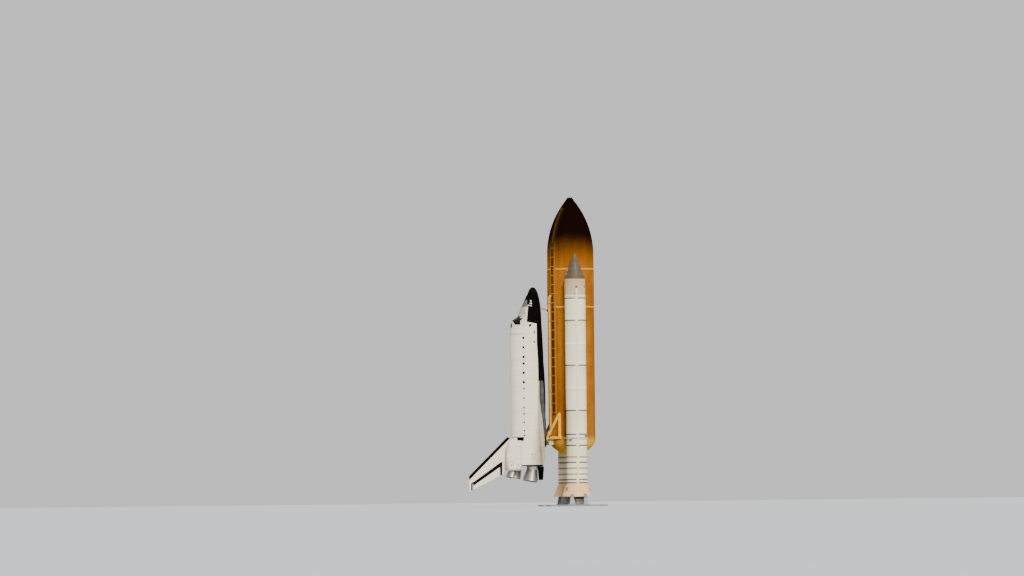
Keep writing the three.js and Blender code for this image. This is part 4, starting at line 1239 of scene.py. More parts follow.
hullRows = refined(hull["forward"], 6)


def rowAt(aft):
    return between(hullRows, aft)


# A matrix on the hull's forward part, looking outwards.
def onHull(aft, angle):
    spot = hullPoint(rowAt(aft), angle)
    return looking(spot, (hullPoint(rowAt(aft), angle, 0.4) - spot).normalized())


def hullRings(rows):
    turns = [2 * pi * i / hull["sides"] for i in range(hull["sides"])]
    return [[hullPoint(row, turn) for turn in turns] for row in rows]


# A patch that lies on the hull between two distances aft and two angles round it.
def hullPatch(start, end, low, high, out=0.012, thick=0.03, steps=6, lean=0.0):
    rings = []
    for i in range(steps + 1):
        row = rowAt(start + (end - start) * i / steps)
        slide = lean * i / steps
        turns = [radians(low + slide + (high - low) * k / steps) for k in range(steps + 1)]
        outer = [hullPoint(row, t, out) for t in turns]
        rings.append(outer + [hullPoint(row, t, out - thick) for t in reversed(turns)])
    return lofted(rings)


# Tiles and blankets, black or white by a mask. The masks are written in the orbiter's own axes.
def orbiterMaterial(name, mask, lines=None, greyAndShadeMask=None, tiles=0.0):
    shade = Shade(name)
    x, y, z = shade.place()
    up, aft = stack["orbiterY"] - y, stack["noseZ"] - z
    normal = shade.facing()
    girth = up + abs(x)
    pitch = finish["tilePitch"]
    gap = shade.high(shade.repeat(aft, pitch, 0.008), shade.repeat(girth, pitch, 0.008))
    tone = shade.chance(shade.join(shade.whole(aft / pitch), shade.whole(girth / pitch), 0.5))
    wide = finish["blanketPitch"]
    seam = shade.high(shade.repeat(aft, wide, 0.014), shade.repeat(girth, wide * 1.3, 0.014))
    quilt = shade.high(shade.repeat(aft, 0.127, 0.02), shade.repeat(girth, 0.127, 0.02))
    patch = shade.chance(shade.join(shade.whole(aft / wide), shade.whole(girth / (wide * 1.3)), 1.5))
    broad = shade.noise(0.8, 4)
    fine = shade.noise(11.0, 4)
    streak = shade.noise(1.0, 4, shade.stretched((4.0, 4.0, 0.5)))
    white = shade.blend(patch * 0.35 + streak * 0.3, finish["white"], finish["shade"])
    white = shade.blend(seam * 0.45, white, finish["grey"])
    white = shade.blend(shade.ease(fine, 0.6, 0.8) * 0.15, white, finish["grey"])
    # Grey patches, and painted shade where the mask gives it.
    if greyAndShadeMask:
        white = shade.blend(greyAndShadeMask(shade, x, up, aft), white, finish["patch"])
    black = shade.blend(tone * 0.8, finish["black"], tuple(c * 2.2 for c in finish["black"]))
    black = shade.blend(shade.ease(broad, 0.45, 0.7) * 0.35, black, (0.0055, 0.0042, 0.0033))
    black = shade.blend(gap * 0.45, black, (0.015, 0.0125, 0.011))
    if tiles:
        white = shade.blend(gap * tiles, white, finish["grey"])
    dark = mask(shade, x, up, aft, normal)
    colour = shade.blend(dark, white, black)
    if lines:
        colour = shade.blend(lines(shade, x, up, aft) * 0.85, colour, (0.05, 0.05, 0.052))
    soft = shade.maths("SUBTRACT", 1.0, dark)
    height = soft * (quilt * -0.35 + broad * 0.3 - seam * 0.6) - dark * (gap * 0.9) + fine * 0.15
    return shade.finish(colour, rough=0.62 + fine * 0.15 + soft * 0.12, height=height, depth=0.006, sheen=0.0)


def edge(shade, value, start, soft=0.02):
    return shade.ease(value, start - soft, start + soft)


# The black underside rises at the nose and dips along the glove.
def chine(shade, up, aft):
    drop = shade.high(aft - 10.4, 0) * 0.06 - (shade.high(aft - 13.2, 0) - shade.high(aft - 17.2, 0)) * 0.045
    return 1 - edge(shade, up + drop, hull["chineUp"])


# All masks take the same values, and so do all sets of lines, whether they need them or not.
def allBlack(shade, x, up, aft, normal):
    return 1.0


def forwardMask(shade, x, up, aft, normal):
    nose = 1 - edge(shade, aft, hull["blackEnd"])
    step = (1 - edge(shade, aft, 3.5)) * 0.2
    cheek = 1 - edge(shade, aft + up * 0.2, hull["cheekEnd"])
    cheek = cheek * (1 - edge(shade, up - aft * 0.13 - step, hull["cheekUp"]))
    belly = chine(shade, up, aft)
    shoulder = edge(shade, up, 0.95) * edge(shade, aft, 4.98) * edge(shade, aft - up * 0.5, 4.72)
    shoulder = shoulder * (1 - edge(shade, aft + shade.high(up - 1.85, 0) * 2.0, 6.85))
    return shade.high(nose, cheek, belly, shoulder)


# Dark grey around the nose thrusters, and painted shade on the upper forward deck, which turns away from the
# light.
def forwardGreyAndShade(shade, x, up, aft):
    shadedDeck = shade.ease(up, -1.0, 0.4) * (1 - shade.ease(aft, 4.2, 8.6)) * 0.58
    return shade.high((1 - edge(shade, aft, 3.5)) * 0.95, shadedDeck)


def forwardLines(shade, x, up, aft):
    patch = shade.line(aft, 3.54, 0.06) * edge(shade, up, -0.66)
    front = shade.line(aft, 8.5, 0.03) * edge(shade, up, -0.2)
    return shade.high(patch, front)


def bellyMask(shade, x, up, aft, normal):
    return shade.high(chine(shade, up, aft), shade.low(hingeMarks(shade, x, up, aft), 1.0))


def aftMask(shade, x, up, aft, normal):
    base = edge(shade, aft, 32.2)
    # Black low at the front of the pods: painted shade in the gap between the doors' end and the pods.
    recessShade = shade.line(up, 1.17, 0.61, 0.05) * (1 - edge(shade, aft, 27.86))
    joint = (1 - edge(shade, aft, 27.26)) * edge(shade, up, 0.5)
    return shade.high(chine(shade, up, aft), base, recessShade, joint)


def bellyLines(shade, x, up, aft):
    side = abs(x)
    low = 1 - edge(shade, up, -2.7)
    doors = shade.high(shade.line(side, 1.9, 0.02), shade.line(side, 3.6, 0.02))
    return low * doors * edge(shade, aft, 20.0) * (1 - edge(shade, aft, 24.2)) * 0.6


def makeNoseCap():
    rows = [row for row in hullRows if row[0] <= hull["capEnd"] + 1e-6]
    cap = Piece().loft(hullRings(rows))
    cap.keep(
        "nose_cap_shell", "stack", "carbon",
        [carbonMaterial("carbon_nose", (0.0024, 0.0014, 0.0008), (0.005, 0.0035, 0.0024), 0.02)],
        ["nose_cap"],
    )


# Windows: frame behind, glass in front; start, end, from and to degrees round the hull, lean
def addWindows(piece):
    windows = (
        (5.34, 6.02, 70, 86, 2), (5.42, 6.08, 51, 67, 3), (5.72, 6.6, 33, 50, 4), (6.72, 7.3, 72, 84, 0)
    )
    for start, end, low, high, lean in windows:
        for flip in (False, True):
            a, b, tilt = (180 - high, 180 - low, -lean) if flip else (low, high, lean)
            rim = hullPatch(start - 0.07, end + 0.07, a - 1.6, b + 1.6, 0.015, 0.05, 6, tilt)
            piece.add(bevelled(rim, [e for e in rim.edges if e.calc_face_angle(0) > 1], 0.01), None, 1)
            piece.add(hullPatch(start, end, a, b, 0.024, 0.03, 6, tilt), None, 2)


# Thruster ports in the nose: side, top and the four bright ones on each cheek; aft, degrees, radius
def addThrusterPorts(piece):
    ports = [
        (2.45, 26, 0.115), (2.75, 27, 0.115), (3.05, 28, 0.1), (1.72, 80, 0.11), (1.72, 100, 0.11),
        (1.72, 90, 0.11), (2.5, 72, 0.11), (2.5, 108, 0.11),
    ]
    for aft, turn, size in ports:
        for flip in ((False, True) if turn < 60 else (False,)):
            angle = radians(180 - turn if flip else turn)
            piece.add(portRim(size, -0.02, (-0.05, -0.09, -0.1)), onHull(aft, angle), 1)
    for aft, up, size in ((2.57, -1.08, 0.15), (3.03, -1.05, 0.2), (3.44, -1.06, 0.15), (3.38, -0.62, 0.15)):
        for side in (-1, 1):
            row = rowAt(aft)
            turn = asin(rounded((up - row[2]) / (row[3] - row[2]), 2 * 2 / row[5]))
            turn = turn if side > 0 else pi - turn
            piece.spin([
                (size + 0.03, -0.06), (size + 0.025, 0.03), (size, 0.035), (size * 0.86, 0.02), (0, 0.016)
            ], 24, onHull(aft, turn), 3)


# Side hatch to port, star tracker doors, vents and the mid-side marks
def addHatch(piece):
    for angle, aft, size, which in (
        (172, 7.35, 0.51, 0), (12, 3.75, 0.1, 1), (168, 3.75, 0.1, 1), (-0.3, 7.02, 0.25, 1),
        (-9, 8.2, 0.24, 4), (180.3, 7.02, 0.25, 1), (189, 8.2, 0.24, 4),
    ):
        piece.spin([
            (size + 0.04, -0.03), (size + 0.035, 0.012), (size, 0.014), (size - 0.02, 0.004),
            (size * 0.3, 0.02), (size * 0.28, 0.03), (0, 0.03),
        ], 40, onHull(aft, radians(angle)), which)
    for aft, low, high, length in ((7.75, 4.5, 6.5, 0.12), (4.35, 38, 40, 0.5)):
        for flip in (False, True):
            a, b = (180 - high, 180 - low) if flip else (low, high)
            piece.add(hullPatch(aft, aft + length, a, b, 0.01, 0.03, 3), None, 1)


def makeForwardBody():
    rows = [row for row in hullRows if row[0] >= hull["capEnd"] - 1e-6]
    rows[0] = [hull["capEnd"] + 0.006, *rows[0][1:]]
    skin = orbiterMaterial("blanket_forward", forwardMask, forwardLines, forwardGreyAndShade, 0.3)
    piece = Piece().loft(hullRings(rows))
    addWindows(piece)
    addThrusterPorts(piece)
    addHatch(piece)
    piece.keep(
        "forward_skin", "stack", "blanket",
        [
            skin, hullMaterials["frame"], glassMaterial("cabin_glass"),
            steelMaterial("paint_port", (0.78, 0.77, 0.74), metal=0.1, rust=0.02),
            steelMaterial("paint_mark", (0.26, 0.24, 0.22), metal=0.0, rust=0.05),
        ],
        ["forward_fuselage"], 26,
    )


# Mid body: outer wall, sills and round inner walls in one, with frames and liner panels inside
def makeMiddleBody():
    rows = refined(hull["middle"], 8)
    start = asin(hull["sill"] / 2.6)
    lift = asin(hull["sill"] / hull["bayRadius"])
    rings = []
    for row in rows:
        outer = [hullPoint(row, start - (pi + 2 * start) * i / 84) for i in range(85)]
        inner = [onArc(pi - lift + (pi + 2 * lift) * i / 48, hull["bayRadius"], row[0]) for i in range(49)]
        rings.append(outer + inner)
    skin = orbiterMaterial("blanket_middle", bellyMask, bellyLines)
    liner = quiltMaterial("bay_liner", (0.74, 0.73, 0.69), 0.5)
    piece = Piece().loft(rings)
    for face in piece.bm.faces:
        middle = face.calc_center_median()
        if Vector(
            (middle.x, middle.y - stack["orbiterY"])
        ).length < hull["bayRadius"] + 0.03 and 8.7 < stack["noseZ"] - middle.z < 27.15:
            face.material_index = 1
    for k in range(hull["frames"]):
        aft = hull["firstFrame"] + k * hull["framePitch"]
        arc = [pi - lift * 0.7 + (pi + 1.4 * lift) * i / 32 for i in range(33)]
        piece.add(arched(arc, aft, ((2.34, -0.05), (2.2, -0.05), (2.2, -0.03), (2.34, -0.03))), None, 2)
    for side in (-1, 1):
        for up, thick, wide in ((0.36, 0.1, 0.12), (-0.55, 0.07, 0.1), (-1.3, 0.07, 0.22)):
            r = sqrt(hull["bayRadius"] ** 2 - up * up) - 0.04
            piece.box((thick, wide, 18.2), 0.015, placed(side * r, up, 17.92), 2)
        for aft in (9.4, 13.6, 17.9, 22.2, 26.4):
            piece.box((0.12, 0.06, 0.18), 0.012, placed(side * 2.47, 0.428, aft), 2)
        for k in range(9):
            piece.box((0.05, 0.22, 0.5), 0.015, placed(side * 2.2, -0.15, 10.1 + k * 2.05), 2)
    for aft, sign in ((8.68, 1), (27.16, -1)):
        spot = at(0, -0.35, aft)
        piece.spin([
            (0, 0.12), (0.5, 0.12), (0.52, 0.1), (0.55, 0.02), (0.72, 0.02), (0.74, 0), (0, 0)
        ], 48, looking(spot, (0, 0, -sign)), 2)
        for side in (-1, 1):
            piece.box((0.5, 0.9, 0.1), 0.03, placed(side * 1.35, -0.5, aft + 0.04 * sign), 1)
    for aft in (10.0, 11.2, 16.0, 20.6, 25.1):
        for side in (-1, 1):
            small = aft < 11
            size = (0.06, 0.28, 0.34) if small else (0.03, 0.34, 0.5)
            piece.box(
                size, 0.012, placed(side * (2.575 if small else 2.588), -1.5 if small else -0.62, aft),
                3 if small else 0,
            )
    piece.keep(
        "middle_skin", "stack", "blanket", [skin, liner, hullMaterials["silver"], hullMaterials["frame"]],
        ["mid_fuselage"], 30,
    )


# Aft body: wells for the engines, collars round the lower two, flap lugs and service panels
def makeAftBody():
    skin = orbiterMaterial("blanket_aft", aftMask)
    wells = []
    for title, *axis in engines["main"]:
        mouth = 1.6 if title == "upper" else 1.08
        well = lathed([(0, 0.2), (1.08, 0.2), (1.08, -1.2), (mouth, -2.9), (0, -2.9)], 64)
        wells.append(shifted(well, enginePlace(*axis)))
    piece = Piece().add(carved(lofted(hullRings(refined(hull["aft"], 8))), *wells))
    for title, side, up, aft, pitch, yaw in engines["main"][1:]:
        place = enginePlace(side, up, aft, pitch, yaw)
        rim = [(1.06, 0.2), (1.12, 0.2), (1.14, 0.75), (1.19, 0.82), (1.19, 0.9), (1.12, 0.95), (1.06, 0.9)]
        deep = hull["aft"][-1][0] - aft
        piece.spin([(r, -(d + deep - 0.85)) for r, d in rim], 64, place, 1, closed=True)
    for x in (-2.1, 0, 2.1):
        outline = ((0.13, 32.2), (0.13, 32.45), (0.07, 32.53), (-0.07, 32.53), (-0.13, 32.45), (-0.13, 32.2))
        piece.loft([[at(x + dx, flap["up"] + up, aft) for up, aft in outline] for dx in (-0.11, 0.11)], 1)
    for side in (-1, 1):
        piece.box((0.06, 1.0, 1.5), 0.03, placed(side * 2.635, -1.15, 30.6), segments=2)
        for k in range(3):
            piece.spin([
                (0, 0.05), (0.13, 0.05), (0.16, 0.02), (0.16, 0), (0, 0),
            ], 24, looking(at(side * 2.655, -0.85 - k * 0.33, 30.3 + (k % 2) * 0.5), (side, 0, 0)), 2)
        piece.box((0.03, 0.3, 0.42), 0.012, placed(side * 2.61, 0.35, 28.3))
    piece.keep(
        "aft_skin", "stack", "blanket", [skin, hullMaterials["frame"], hullMaterials["silver"]],
        ["aft_fuselage"], 30,
    )


def carbonMaterial(name, dark, pale, sheen=0.15):
    shade = Shade(name)
    broad = shade.noise(1.3, 4)
    fine = shade.noise(18.0, 4)
    colour = shade.blend(shade.ease(broad, 0.3, 0.7), dark, pale)
    colour = shade.blend(shade.ease(fine, 0.6, 0.75) * 0.3, colour, tuple(2.2 * c for c in pale))
    return shade.finish(colour, rough=0.5 + fine * 0.2, height=fine * 0.5 + broad, depth=0.004, sheen=sheen)


def glassMaterial(name):
    shade = Shade(name)
    tint = shade.noise(0.6, 2)
    return shade.finish(
        shade.blend(tint, (0.004, 0.0035, 0.005), (0.011, 0.01, 0.014)), rough=0.14 + tint * 0.1, sheen=0.14
    )


# Engines: gimbal point, pitch towards the back and yaw outwards.
engines = {
    "main": (
        ("upper", 0.0, 1.092, 30.709, 16, 0), ("right", 1.346, -1.457, 31.3, 10, 3.5),
        ("left", -1.346, -1.457, 31.3, 10, -3.5),
    ),
    "pod": (("right", 2.235, 2.337, 32.563, 15.8, 6.5), ("left", -2.235, 2.337, 32.563, 15.8, -6.5)),
    "throat": 0.4,
    "exit": 1.15,
    "bellStart": 1.18,
    "bellEnd": 3.9,
    "bands": 9,
    "curve": 0.62,  # power by which a bell opens along its length
    "podBell": (0.1, 0.545, 0.45, 1.95),
}


# A matrix whose Z looks from the gimbal point against the thrust.
def enginePlace(side, up, aft, pitch, yaw):
    spin = Matrix.Rotation(radians(-pitch), 4, "X") @ Matrix.Rotation(radians(-yaw), 4, "Y")
    return placed(side, up, aft) @ spin


# Radius and depth of a bell at a share of its length, and its outer and inner line.
def bellAt(throat, wide, start, end, t):
    return throat + (wide - throat) * t ** engines["curve"], start + (end - start) * t


def bell(throat, wide, start, end, thick, steps):
    spots = [bellAt(throat, wide, start, end, i / steps) for i in range(steps + 1)]
    return [(r + thick, -d) for r, d in spots], [(r, -d) for r, d in spots]


def bellMaterial(name, inside=False):
    shade = Shade(name)
    heat = shade.noise(0.9, 4)
    tube = shade.noise(1.0, 2, shade.stretched((26, 26, 0.6)))
    fine = shade.noise(15.0, 4)
    if inside:
        colour = shade.blend(shade.ease(heat, 0.35, 0.7), (0.05, 0.042, 0.036), (0.15, 0.125, 0.10))
        return shade.finish(colour, rough=0.45 + fine * 0.2, metal=0.7, height=tube, depth=0.004)
    colour = shade.blend(shade.ease(heat, 0.35, 0.7), (0.33, 0.29, 0.24), (0.52, 0.49, 0.45))
    colour = shade.blend(shade.ease(fine, 0.55, 0.75) * 0.4, colour, (0.20, 0.15, 0.11))
    return shade.finish(colour, rough=0.32 + fine * 0.25, metal=0.8, height=tube + fine * 0.2, depth=0.005)


def makeMainEngine(title, side, up, aft, pitch, yaw):
    place = enginePlace(side, up, aft, pitch, yaw)
    size = [engines[key] for key in ("throat", "exit", "bellStart", "bellEnd")]
    outer, inner = bell(*size, 0.034, 22)
    head = [
        (0, 0.2), (0.1, 0.173), (0.173, 0.1), (0.2, 0), (0.18, -0.2), (0.3, -0.3), (0.52, -0.36),
        (0.7, -0.46), (0.78, -0.62), (0.8, -0.8),
    ]
    head += [(0.8, -0.94), (0.86, -1.0), (0.86, -1.05), (0.54, -1.09), (0.46, -1.13)]
    piece = Piece().spin(head + outer, 72, place)
    piece.spin([(0, -1.3), (0.2, -1.27), *inner], 72, place, 1)
    lip = engines["exit"]
    piece.spin(
        near(
            lip, -engines["bellEnd"], (0, 0.04), (0.06, 0.02), (0.075, -0.02), (0.04, -0.05), (-0.005, -0.03)
        ),
        72, place, closed=True,
    )
    for k in range(engines["bands"]):
        r, d = bellAt(*size, 0.08 + 0.86 * k / (engines["bands"] - 1))
        band = near(r, -d, (0.02, 0.05), (0.065, 0.035), (0.065, -0.03), (0.025, -0.055))
        piece.spin(band, 72, place, 2)
    for k in range(6):
        turn = radians(k * 60 + 20)
        points = []
        for i in range(9):
            r, d = bellAt(*size, 0.1 + 0.8 * i / 8)
            sweep = turn + 0.12 * i / 8
            points.append(Vector(((r + 0.085) * cos(sweep), (r + 0.085) * sin(sweep), -d)))
        piece.add(tubed(points, 0.028, 8), place, 2)
    dome = [
        (0.5, -1.08), (0.84, -1.06), (0.87, -1.15), (0.86, -1.35), (0.82, -1.6), (0.77, -1.8), (0.74, -1.86),
        (0.7, -1.84),
    ]
    piece.spin(dome, 72, place, 3)
    node = "main_engine_" + title
    piece.keep(node + "_works", node, "bell", list(engineMaterials.values()), [node], 40)


def makePodEngine(title, side, up, aft, pitch, yaw):
    place = enginePlace(side, up, aft, pitch, yaw)
    outer, inner = bell(*engines["podBell"], 0.018, 16)
    head = [(0, 0.11), (0.08, 0.08), (0.11, 0), (0.11, -0.09), (0.25, -0.12), (0.25, -0.33), (0.14, -0.4)]
    piece = Piece().spin(head + outer, 56, place)
    piece.spin([(0, -0.52), *inner], 56, place, 1)
    piece.spin([(0.545, -1.92), (0.585, -1.93), (0.59, -1.96), (0.55, -1.965)], 56, place, closed=True)
    for t in (0.2, 0.5):
        r, d = bellAt(*engines["podBell"], t)
        band = near(r, -d, (0.012, 0.03), (0.042, 0.02), (0.042, -0.02), (0.017, -0.03))
        piece.spin(band, 56, place, 2)
    node = "pod_engine_" + title
    piece.keep(node + "_works", "stack", "bell", list(engineMaterials.values())[:3], [node], 40)


# Wings, control surfaces and tail.
wing = {
    # half span, leading edge aft of the nose, its height, thickness, fullness of the nose
    "sections": (
        (2.2, 8.95, -2.76, 1.25, 1.1),
        (2.64, 9.05, -2.76, 1.25, 1.1),
        (3.9, 15.7, -2.64, 1.04, 0.35),
        (4.6, 19.05, -2.61, 0.97, 0.33),
        (5.3, 20.56, -2.59, 0.94, 0.42),
        (8.3, 23.533, -2.46, 0.74, 0.5),
        (11.895, 27.127, -2.24, 0.33, 0.5),
    ),
    "hingeAft": 29.235,
    "inner": 2.96,
    "split": 7.93,
    "outer": 11.69,
    "gap": 0.06,
    "carbonInner": 4.15,
    "carbonPanels": 22,
    # half span, depth of the dark edge there, how fast that falls outboard
    "darkDepth": ((5.3, 1.3, 0.22), (8.0, 0.78, 0.06)),
    # black tiles behind the first panels: half span, aft, aft per metre outboard
    "rootBorder": (4.2, 20.4, 1.27),
    "rootStart": 17.1,
    "carbonRoot": (0.45, 0.9),
    "edge": 0.02,
}
flap = {"aft": 32.76, "up": -2.76, "nose": 0.225, "halfSpan": 3.0, "chord": 2.2, "edge": 0.035}


def elevonUp(x):
    return -2.8 + max(x - wing["inner"], 0) * 0.0612


def elevonNose(x):
    return 0.235 - (x - wing["inner"]) * 0.11 / 8.73


def trailingEdge(x):
    return 32.233 - (x - wing["inner"]) * 0.1784


def darkDepth(x, larger):
    return larger(*((x - start) * -fall + depth for start, depth, fall in wing["darkDepth"]))


def wingPoint(side, row, end, rear, g, sign, out=0.0):
    x, lead, leadUp, thick, full = row
    peak = full / (full + 1)
    bulge = g**full * (1 - g) / (peak**full * (1 - peak))
    half = ((thick - rear * peak) * bulge + rear * g) / 2 + out
    return at(side * x, leadUp + (elevonUp(x) - leadUp) * g + sign * half, lead - out + (end - lead) * g)


def wingRing(side, row, end, rear, steps=26):
    shares = [(i / steps) ** 2 for i in range(steps, 0, -1)]
    upper = [wingPoint(side, row, end, rear, g, 1) for g in shares]
    lower = [wingPoint(side, row, end, rear, g, -1) for g in reversed(shares)]
    return upper + [wingPoint(side, row, end, rear, 0, 1)] + lower


# Chine and belly are black, the upper side white.
def wingMask(shade, x, up, aft, normal):
    belly = shade.ease(normal[1], -0.1, 0.1)
    glove = chine(shade, up, aft) * (1 - edge(shade, aft, wing["rootStart"]))
    side = abs(x)
    lead = shade.low(
        shade.low((side - 5.3) * 0.9945, (side - 5.3) * 2.157) + 20.56, (side - 4.6) * 4.786 + 19.05
    )
    start, low, rise = wing["rootBorder"]
    root = (1 - edge(shade, aft - (side - start) * rise, low)) * (1 - edge(shade, side, 5.05))
    strip = shade.high(1 - edge(shade, aft - lead - darkDepth(side, shade.high), 0.0), root)
    strip = strip * edge(shade, aft, wing["rootStart"]) * edge(shade, side - aft * 0.12, 1.82)
    return shade.high(belly, glove, strip)


def wingLines(shade, x, up, aft):
    side = abs(x)
    doors = shade.line(aft, 28.35, 0.02)
    ribs = shade.repeat(side, 0.62, 0.012) * edge(shade, aft, 28.35, 0.01)
    seam = shade.line(side, 5.3, 0.012)
    return shade.high(doors, ribs, seam) * 0.7


def surfaceMask(shade, x, up, aft, normal):
    return shade.ease(normal[1], -0.1, 0.1)


def surfaceLines(shade, x, up, aft):
    side = abs(x)
    return shade.high(shade.repeat(side, 1.24, 0.014), shade.line(aft, wing["hingeAft"] + 0.32, 0.02)) * 0.6


def makeWing(side, title):
    rows = refined(wing["sections"], 5)
    rings = []
    for row in rows:
        nose = elevonNose(row[0])
        rings.append(wingRing(side, row, wing["hingeAft"] - nose - 0.0128, nose * 2))
    piece = Piece().loft(rings)
    last = wing["sections"][-1]
    tip = (wing["outer"] + wing["gap"], last[1] - 0.145, last[2] - 0.008, last[3] + 0.007, last[4])
    piece.loft([wingRing(side, row, trailingEdge(row[0]), 0.04) for row in (tip, last)])
    # Carbon panels round the leading edge
    span = (last[0] - wing["carbonInner"]) / wing["carbonPanels"]
    for k in range(wing["carbonPanels"]):
        rings = []
        for share in (0.02, 0.5, 0.985):
            x = wing["carbonInner"] + span * (k + share)
            row = between(rows, x)
            nose = elevonNose(x)
            end = wing["hingeAft"] - nose - 0.0128
            rootDepth, growth = wing["carbonRoot"]
            depth = min(rootDepth + (x - wing["carbonInner"]) * growth, darkDepth(x, max) - 0.1)
            size = depth / (end - row[1])
            shares = [size * (i / 8) ** 2 for i in range(8, 0, -1)]
            outer = [wingPoint(side, row, end, nose * 2, g, 1, 0.022) for g in shares]
            outer += [wingPoint(side, row, end, nose * 2, 0, 1, 0.022)]
            outer += [wingPoint(side, row, end, nose * 2, g * 0.5, -1, 0.022) for g in reversed(shares)]
            inner = [wingPoint(side, row, end, nose * 2, g, 1, -0.02) for g in shares]
            inner += [wingPoint(side, row, end, nose * 2, g * 0.5, -1, -0.02) for g in reversed(shares)]
            rings.append(outer + list(reversed(inner)))
        piece.loft(rings, 1)
    # Bearings that carry the elevons
    for x in (4.3, 6.6, 9.0, 10.8):
        nose = elevonNose(x)
        for off in (-0.05, 0.05):
            spot = at(side * (x + off), elevonUp(x), wing["hingeAft"] - nose - 0.045)
            piece.box((0.035, nose * 1.4, 0.07), 0.008, Matrix.Translation(spot), 2)
    piece.keep(
        f"wing_{title}_skin", "stack", "blanket",
        [wingSkins["wing"], wingSkins["carbon"], wingSkins["metal"]], [f"wing_{title}"], 34,
    )


# A control surface's closed section: round nose about the hinge, flat sides, thin trailing edge.
def surfaceRing(x, up, aft, nose, chord, thin, steps=14):
    ring = []
    for i in range(steps + 1):
        angle = pi / 2 + pi * i / steps
        ring.append(at(x, up + nose * sin(angle), aft + nose * cos(angle)))
    for share in (0.25, 0.5, 0.75, 0.97, 1):
        ring.append(at(x, up - nose + (nose - thin) * share, aft + chord * share))
    for share in (1, 0.97, 0.75, 0.5, 0.25):
        ring.append(at(x, up + nose - (nose - thin) * share, aft + chord * share))
    return ring


def makeElevon(side, title, part, start, end):
    rings = []
    count = 14
    for i in range(count + 1):
        x = start + (end - start) * i / count
        rings.append(
            surfaceRing(
                side * x, elevonUp(x), wing["hingeAft"], elevonNose(x), trailingEdge(x) - wing["hingeAft"],
                wing["edge"],
            )
        )
    piece = Piece().loft(rings)
    for x in (start + 0.02, end - 0.02):
        nose = elevonNose(x) - 0.03
        chord = trailingEdge(x) - wing["hingeAft"]
        ribs = [
            surfaceRing(side * (x + d), elevonUp(x), wing["hingeAft"], nose, chord - 0.1, wing["edge"])
            for d in (-0.025, 0.025)
        ]
        piece.loft(ribs, 1)
    for k in range(4):
        x = start + (end - start) * (k + 0.5) / 4
        spot = at(side * x, elevonUp(x) + elevonNose(x) * 0.83, wing["hingeAft"] + 0.42)
        piece.box((0.34, 0.03, 0.5), 0.012, Matrix.Translation(spot) @ turned(-4, "X"), 2)
    name = f"elevon_{title}_{part}"
    piece.keep(
        name + "_skin", name, "blanket", [wingSkins["surface"], wingSkins["dark"], wingSkins["surface"]],
        [name], 34,
    )


def makeFlap():
    rings = []
    for i in range(21):
        x = flap["halfSpan"] * (i / 10 - 1)
        rings.append(surfaceRing(x, flap["up"], flap["aft"], flap["nose"], flap["chord"], flap["edge"]))
    piece = Piece().loft(rings)
    for i in range(5):
        x = flap["halfSpan"] * (i / 2 - 1) * 0.98
        rib = [
            surfaceRing(
                x + d, flap["up"], flap["aft"], flap["nose"] + 0.008, flap["chord"] - 0.12,
                flap["edge"] + 0.006,
            )
            for d in (-0.05, 0.05)
        ]
        piece.loft(rib, 1)
    piece.keep(
        "body_flap_tiles", "body_flap", "tile", [wingSkins["tile"], wingSkins["dark"]], ["body_flap"], 34
    )


# Fin and split rudder
fin = {
    "rootUp": 2.616,
    "lead": 26.42,
    "trail": 33.11,
    "trailSlope": 0.4931,
    "top": 10.31,
    "front": 27.263,
    # share of the chord, share of the half thickness
    "shape": (
        (0, 0.02), (0.004, 0.13), (0.01, 0.22), (0.03, 0.38), (0.06, 0.5), (0.12, 0.65), (0.2, 0.76),
        (0.35, 0.9), (0.6, 1), (0.8, 0.55), (1, 0.08),
    ),
    "under": ((2.3, 32.3), (2.7, 32.3), (3.66, 32.741), (4.04, 33.96), (4.3, 33.96)),
    "low": 4.648,
    "high": 9.677,
    "hingeLow": 32.055,
    "hingeHigh": 35.509,
    "gap": 0.06,
    "drop": 0.11,
    "edgeBand": 0.75,
}
hingeSlope = (fin["hingeHigh"] - fin["hingeLow"]) / (fin["high"] - fin["low"])


def finLead(up):
    return fin["lead"] + up - fin["rootUp"]


def finTrail(up):
    return fin["trail"] + (up - fin["rootUp"]) * fin["trailSlope"]


def rudderHinge(up):
    return fin["hingeLow"] + (up - fin["low"]) * hingeSlope


def finHalf(up, aft):
    chord = finTrail(up) - finLead(up)
    share = min(max((aft - finLead(up)) / chord, 0), 1)
    for (c0, t0), (c1, t1) in zip(fin["shape"], fin["shape"][1:]):
        if share <= c1:
            return chord * 0.05 * (t0 + (t1 - t0) * (share - c0) / (c1 - c0))
    return chord * 0.05 * fin["shape"][-1][1]


def finRing(up, start, end):
    afts = [start + (end - start) * (i / 24) ** 1.6 for i in range(25)]
    right = [at(finHalf(up, aft), up, aft) for aft in afts]
    left = [at(-finHalf(up, aft), up, aft) for aft in reversed(afts)]
    return right + left


def finEnd(up):
    for (u0, a0), (u1, a1) in zip(fin["under"], fin["under"][1:]):
        if u0 <= up <= u1:
            return min(a0 + (a1 - a0) * (up - u0) / (u1 - u0), finTrail(up))
    return finTrail(up)


def rudderFront(up):
    nose = (finTrail(up) - finLead(up)) * 0.05
    return rudderHinge(up) - (nose + 0.012) * sqrt(1 + hingeSlope**2)


